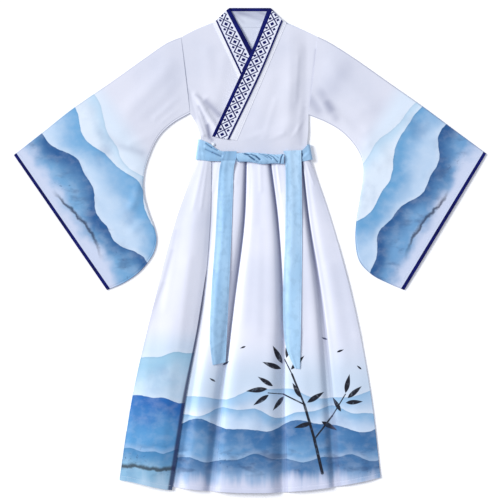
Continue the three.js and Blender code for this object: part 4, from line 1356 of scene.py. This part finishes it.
# Painted shade in the same fronts' creases
SASH_SHADE = {
    "right": [(-121, 301, -105, 290, 2.0, 0.75), (-105, 290, -90, 282, 1.8, 0.5),
              (-122, 285, -102, 276, 1.8, 0.5), (-102, 276, -80, 266, 2.2, 0.7)],
    "left": [(139, 282, 142, 272, 3.2, 1.0), (142, 272, 143, 254, 1.6, 0.4),
             (141, 283, 154, 295, 1.2, 0.25)],
}


def sash_front(side):
    """The front of the sash at one side, with its turn round the robe's edge to under the back."""
    above, below = Line(SASH[side]["above"]), Line(SASH[side]["below"])
    towards = -1 if side == "right" else 1
    end = 0 if side == "right" else 1
    rows = shares(40)
    a, b = above.at(end), below.at(end)
    inner = SASH[side]["above"][-1 if side == "right" else 0][0]
    grid = []
    for share in rows:
        side_x, side_y = mix(b[0], a[0], share), mix(b[1], a[1], share)
        high = float(sash_height(side_x - towards * 5))
        turn = np.array([(side_x - towards * TURN_UNDER, 0.6), (side_x - towards * 5, 0.6), (side_x, 0.75),
                         (side_x + towards * 3.4, 1.7), (side_x + towards * 4.6, high / 2),
                         (side_x + towards * 3.6, high - 1.8), (side_x, high - 0.3)])
        flat = []
        for t in np.arange(1, 10) / 9:
            pa, pb = [line.at(t if side == "right" else 1 - t) for line in (above, below)]
            x = mix(pb[0], pa[0], share)
            crease = 0.7 * math.sin(share * math.pi * 3 - t * 2) * float(smooth(t, 0, 0.3))
            flat.append((x, mix(pb[1], pa[1], share), float(sash_height(x)) + crease))
        path = np.array([(x, side_y, z) for x, z in turn] + flat)
        path[:, 0] = np.maximum(path[:, 0], inner) if towards > 0 else np.minimum(path[:, 0], inner)
        line = through(np.stack([path[:, [0, 2]]]), 7)[0]
        ys = np.interp(np.arange(len(line)) / 7, np.arange(len(path)), path[:, 1])
        row = np.stack([line[:, 0], ys, line[:, 1]], -1)
        upper = smooth(np.arange(len(line)) / 7, 5, 7)
        row[:, 2] += ridges(SASH_CREASES[side], row[:, 0], row[:, 1]) * upper
        grid.append(row if side == "right" else row[::-1])
    return np.array(grid)


# The twist's deep creases and the rounded folds of cloth between them
TWIST_CREASES = [
    (-44, 277, -40, 270, 2.4, 1.0), (-40, 270, -38, 262, 1.6, 0.6), (-38, 262, -31, 252, 1.6, 0.5),
    (-33, 279, -14, 273, 1.4, 0.55), (-14, 273, -3, 269.5, 2.2, 1.0), (-3, 269.5, 4, 271, 1.5, 0.5),
    (4, 271, 17, 266, 1.7, 0.8), (17, 266, 28, 257, 2.1, 1.0), (-1, 266, 13, 256, 2.1, 0.95),
    (13, 256, 24, 250, 1.6, 0.4), (26, 273, 38, 269, 1.3, 0.5), (38, 269, 51, 261, 1.3, 0.45),
    (36, 271.5, 50, 267, 1.4, 0.55), (50, 267, 61, 258, 1.5, 0.6), (50, 271.5, 66, 263, 1.5, 0.6),
    (66, 263, 77, 250, 1.8, 0.65), (66, 271, 80, 261, 1.3, 0.4), (84, 246, 87, 262, 1.8, 0.7),
    (87, 262, 93, 275, 1.8, 0.8),
]
TWIST_FOLDS = [
    (-28, 270, -4, 258, 6.0, 0.9), (0, 262, 14, 250, 3.0, 0.7), (6, 267, 22, 258, 3.0, 0.9),
    (22, 270, 46, 252, 3.4, 0.9), (56, 268, 74, 254, 2.6, 0.8), (74, 266, 84, 254, 2.6, 0.7),
]
TWIST_CREASE_DEPTH = 3.4


def twist():
    """The crossed part of the sash: a flattened rope whose folds run down towards the wearer's left."""
    path = Line(TWIST["path"])
    width = Line([(x, h) for (x, _), h in zip(TWIST["path"], TWIST["half"])])
    t = np.linspace(0, 1, 160)
    angle = np.linspace(0, 2 * math.pi, 110, endpoint=False)
    centre, half = path.at(t), width.at(t)[:, 1]
    lobes = 1 - 0.05 * (0.5 + 0.5 * np.cos(3 * angle[None] - 12 * t[:, None]))
    thick = TWIST["thick"]
    up = np.sin(angle)[None]
    z = SASH_Z - CLOTH / 2 + GAP + thick + up * thick * lobes
    y = centre[:, 1:2] + np.cos(angle)[None] * half[:, None] * lobes * 0.94
    x = np.broadcast_to(centre[:, :1], y.shape)
    creases = grooves(TWIST_CREASES, x, y) * (up > 0)
    folds = ridges(TWIST_FOLDS, x, y) + 0.2 * np.sin(x * 0.55 + y * 0.9) - TWIST_CREASE_DEPTH * creases
    z = z + folds * np.clip(up, 0, 1) ** 0.5
    rings = np.dstack([x, y, z])
    points, faces = capped(rings, (rings[0].mean(0), rings[-1].mean(0)))
    flat = np.vstack([flat_coordinates(rings).reshape(-1, 2), [[0, 0], [0, 130]]])
    # Painted shade down in the twist's creases
    shade = np.concatenate([creases.ravel(), [0, 0]])
    return mesh_object("sash_twist_cloth", points, faces, flat, MATERIAL["sash"], 70, shade)


# Faint creases across the hanging ends, where they were pressed
TAIL_CREASES = {
    "right": [(-76, 254, -36, 252, 2.0, -1.1), (-92, 199, -46, 197, 1.8, -0.5),
              (-92, 154, -48, 152, 1.8, -0.55), (-92, 149, -60, 142, 2.2, 0.4),
              (-94, 70, -50, 66, 2.0, -0.5), (-96, 55, -52, 52, 1.8, -0.5),
              (-102, -40, -56, -46, 2.2, -0.4), (-110, -170, -62, -162, 2.0, -0.4),
              (-104, -262, -70, -240, 4.0, 0.5)],
    "left": [(94, 262, 99, 240, 2.4, -0.9), (112, 280, 110, 250, 6.0, 0.4), (96, 98, 144, 90, 2.2, -0.6),
             (96, 70, 144, 66, 1.8, -0.5), (96, 150, 144, 158, 2.2, -0.35), (94, -20, 142, -26, 2.0, -0.4),
             (92, -140, 142, -132, 2.0, -0.4), (100, -220, 138, -236, 2.2, -0.4)],
}


def tail(side, top):
    rows, cols = 220, 30
    outer, inner = Line(TAILS[side]["outer"]), Line(TAILS[side]["inner"])
    pair = (inner, outer) if side == "left" else (outer, inner)
    u = shares(cols)
    plan = between(*pair, u, shares(rows))
    x, y = plan[..., 0], plan[..., 1]
    on_skirt = skirt_height(y, top.at(x, y)) + CLOTH + TAIL_AIR
    on_sash = SASH_Z + LAYER + 0.9
    z = mix(on_skirt, np.maximum(on_sash, on_skirt), smooth(y, WAIST_Y - 45, WAIST_Y - 15))
    down = (shares(rows)[::-1])[:, None]
    curl = 0.9 * (2 * u - 1)[None] ** 2 * np.sin(down * 9 + (0.5 if side == "left" else 2.0))
    fold = 0.9 * np.exp(-(((u[None] - 0.32 - 0.1 * np.sin(down * 5)) / 0.16) ** 2))
    return np.dstack([x, y, z + np.maximum(curl, -0.6) + fold + ridges(TAIL_CREASES[side], x, y)])


def sash():
    u = [np.array(SASH["right"]["below"][0], float), np.array(SASH["left"]["below"][-1], float)]
    w = [np.array(SASH["right"]["above"][0], float), np.array(SASH["left"]["above"][-1], float)]
    for pair in (u, w):
        for point in pair:
            point[0] -= np.sign(point[0]) * (TURN_UNDER + GAP)
    plan = coons(Line(u), Line(w), Line([u[0], w[0]]), Line([u[1], w[1]]), shares(60), shares(12))
    grid = lifted(plan, lambda x, y: np.full_like(x, CLOTH / 2))
    behind = slab("sash_behind", grid, MATERIAL["sash"])
    dress(behind, "sash_back")
    for side, flat, area, under in (("right", (0.14, 0.062), 0.0055, "under_front_cloth"),
                                    ("left", (0.10, 0.052), 0.0032, "over_front_cloth")):
        grid = sash_front(side)
        front = slab("sash_front_" + side, grid, MATERIAL["sash"], shade=marked(SASH_SHADE[side], grid))
        dress(front, "sash_" + side)
    dress(twist(), "sash_twist")
    top = SkirtTop()
    for side in ("right", "left"):
        grid = tail(side, top)
        piece = slab("sash_tail_cloth_" + side, grid, MATERIAL["sash_tail_" + side])
        sew_columns("blue_satin", grid, (3, -4))
        dress(piece, "sash_tail_" + side)


# The snap's outline as radius and height, and its middle
SNAP = [(0, 0), (4.6, 0), (5, 0.3), (4.9, 0.8), (3.4, 1.1), (3.1, 1.5), (2.9, 2.1), (2.2, 2.3), (0, 2.2)]
SNAP_AT = (-101, 299)


def snap():
    radius, height = np.array(SNAP).T
    base = float(over_height(*np.array(SNAP_AT))) + CLOTH / 2 + 2 * GAP
    angle = 2 * math.pi * np.arange(48) / 48
    round_middle = np.stack([np.cos(angle), np.sin(angle)], -1)
    rings = [np.column_stack([SNAP_AT + r * round_middle, np.full(len(angle), base + z)])
             for r, z in zip(radius[1:-1], height[1:-1])]
    points, faces = capped(np.array(rings), [(*SNAP_AT, base + z) for z in height[[0, -1]]])
    piece = mesh_object("snap_closure", points, faces, points[:, :2], MATERIAL["snap"], 35)
    dress(piece, "snap_cap")


bodice()
sleeves()
collar()
collar_behind()
skirt()
sash()
snap()
for sewn_slot in SEWN:
    stitches(sewn_slot, MATERIAL["blue_thread" if sewn_slot == "blue_satin" else "thread"])

# Stage: a pale surface, a broad soft light from the left, and the camera straight above


def stage():
    g = Graph("pale surface", 0.9, 0.1)
    g.paint(linear((252, 252, 253)))
    g.shader.inputs["Emission Color"].default_value = (1.0, 1.0, 1.0, 1.0)
    g.shader.inputs["Emission Strength"].default_value = 0.12
    size = 40.0
    mesh = bpy.data.meshes.new("surface")
    corners = [(-size, -size, 0), (size, -size, 0), (size, size, 0), (-size, size, 0)]
    mesh.from_pydata(corners, [], [(0, 1, 2, 3)])
    mesh.materials.append(g.material)
    floor = placed("surface", mesh)
    floor.location.z = -0.0004


def light():
    """A soft distant light from the upper left, and a pale sky."""
    tilt_from_above, heading_from_x = math.radians(59), math.radians(158)
    key = bpy.data.lights.new("key", "SUN")
    key.energy, key.angle, key.color = 3.5, math.radians(24), (1.0, 0.99, 0.97)
    placed("key", key).rotation_euler = (0, tilt_from_above, heading_from_x)
    world = bpy.data.worlds.new("studio")
    world.use_nodes = True
    sky = world.node_tree.nodes["Background"]
    sky.inputs["Color"].default_value = (0.82, 0.86, 1.0, 1.0)
    sky.inputs["Strength"].default_value = 0.51
    bpy.context.scene.world = world
    bpy.context.scene.view_settings.view_transform = "Standard"


def camera():
    """The photograph's view: straight down, 1.385 m across the frame, from well above."""
    data = bpy.data.cameras.new("camera")
    data.sensor_width = 36
    height, across = 7.0, 1.385
    data.lens = data.sensor_width * height / across
    data.clip_end = 200
    obj = placed("camera", data)
    obj.location = (0, (6.9 - ORIGIN_Y) * MM, height)
    bpy.context.scene.camera = obj


stage()
light()
camera()
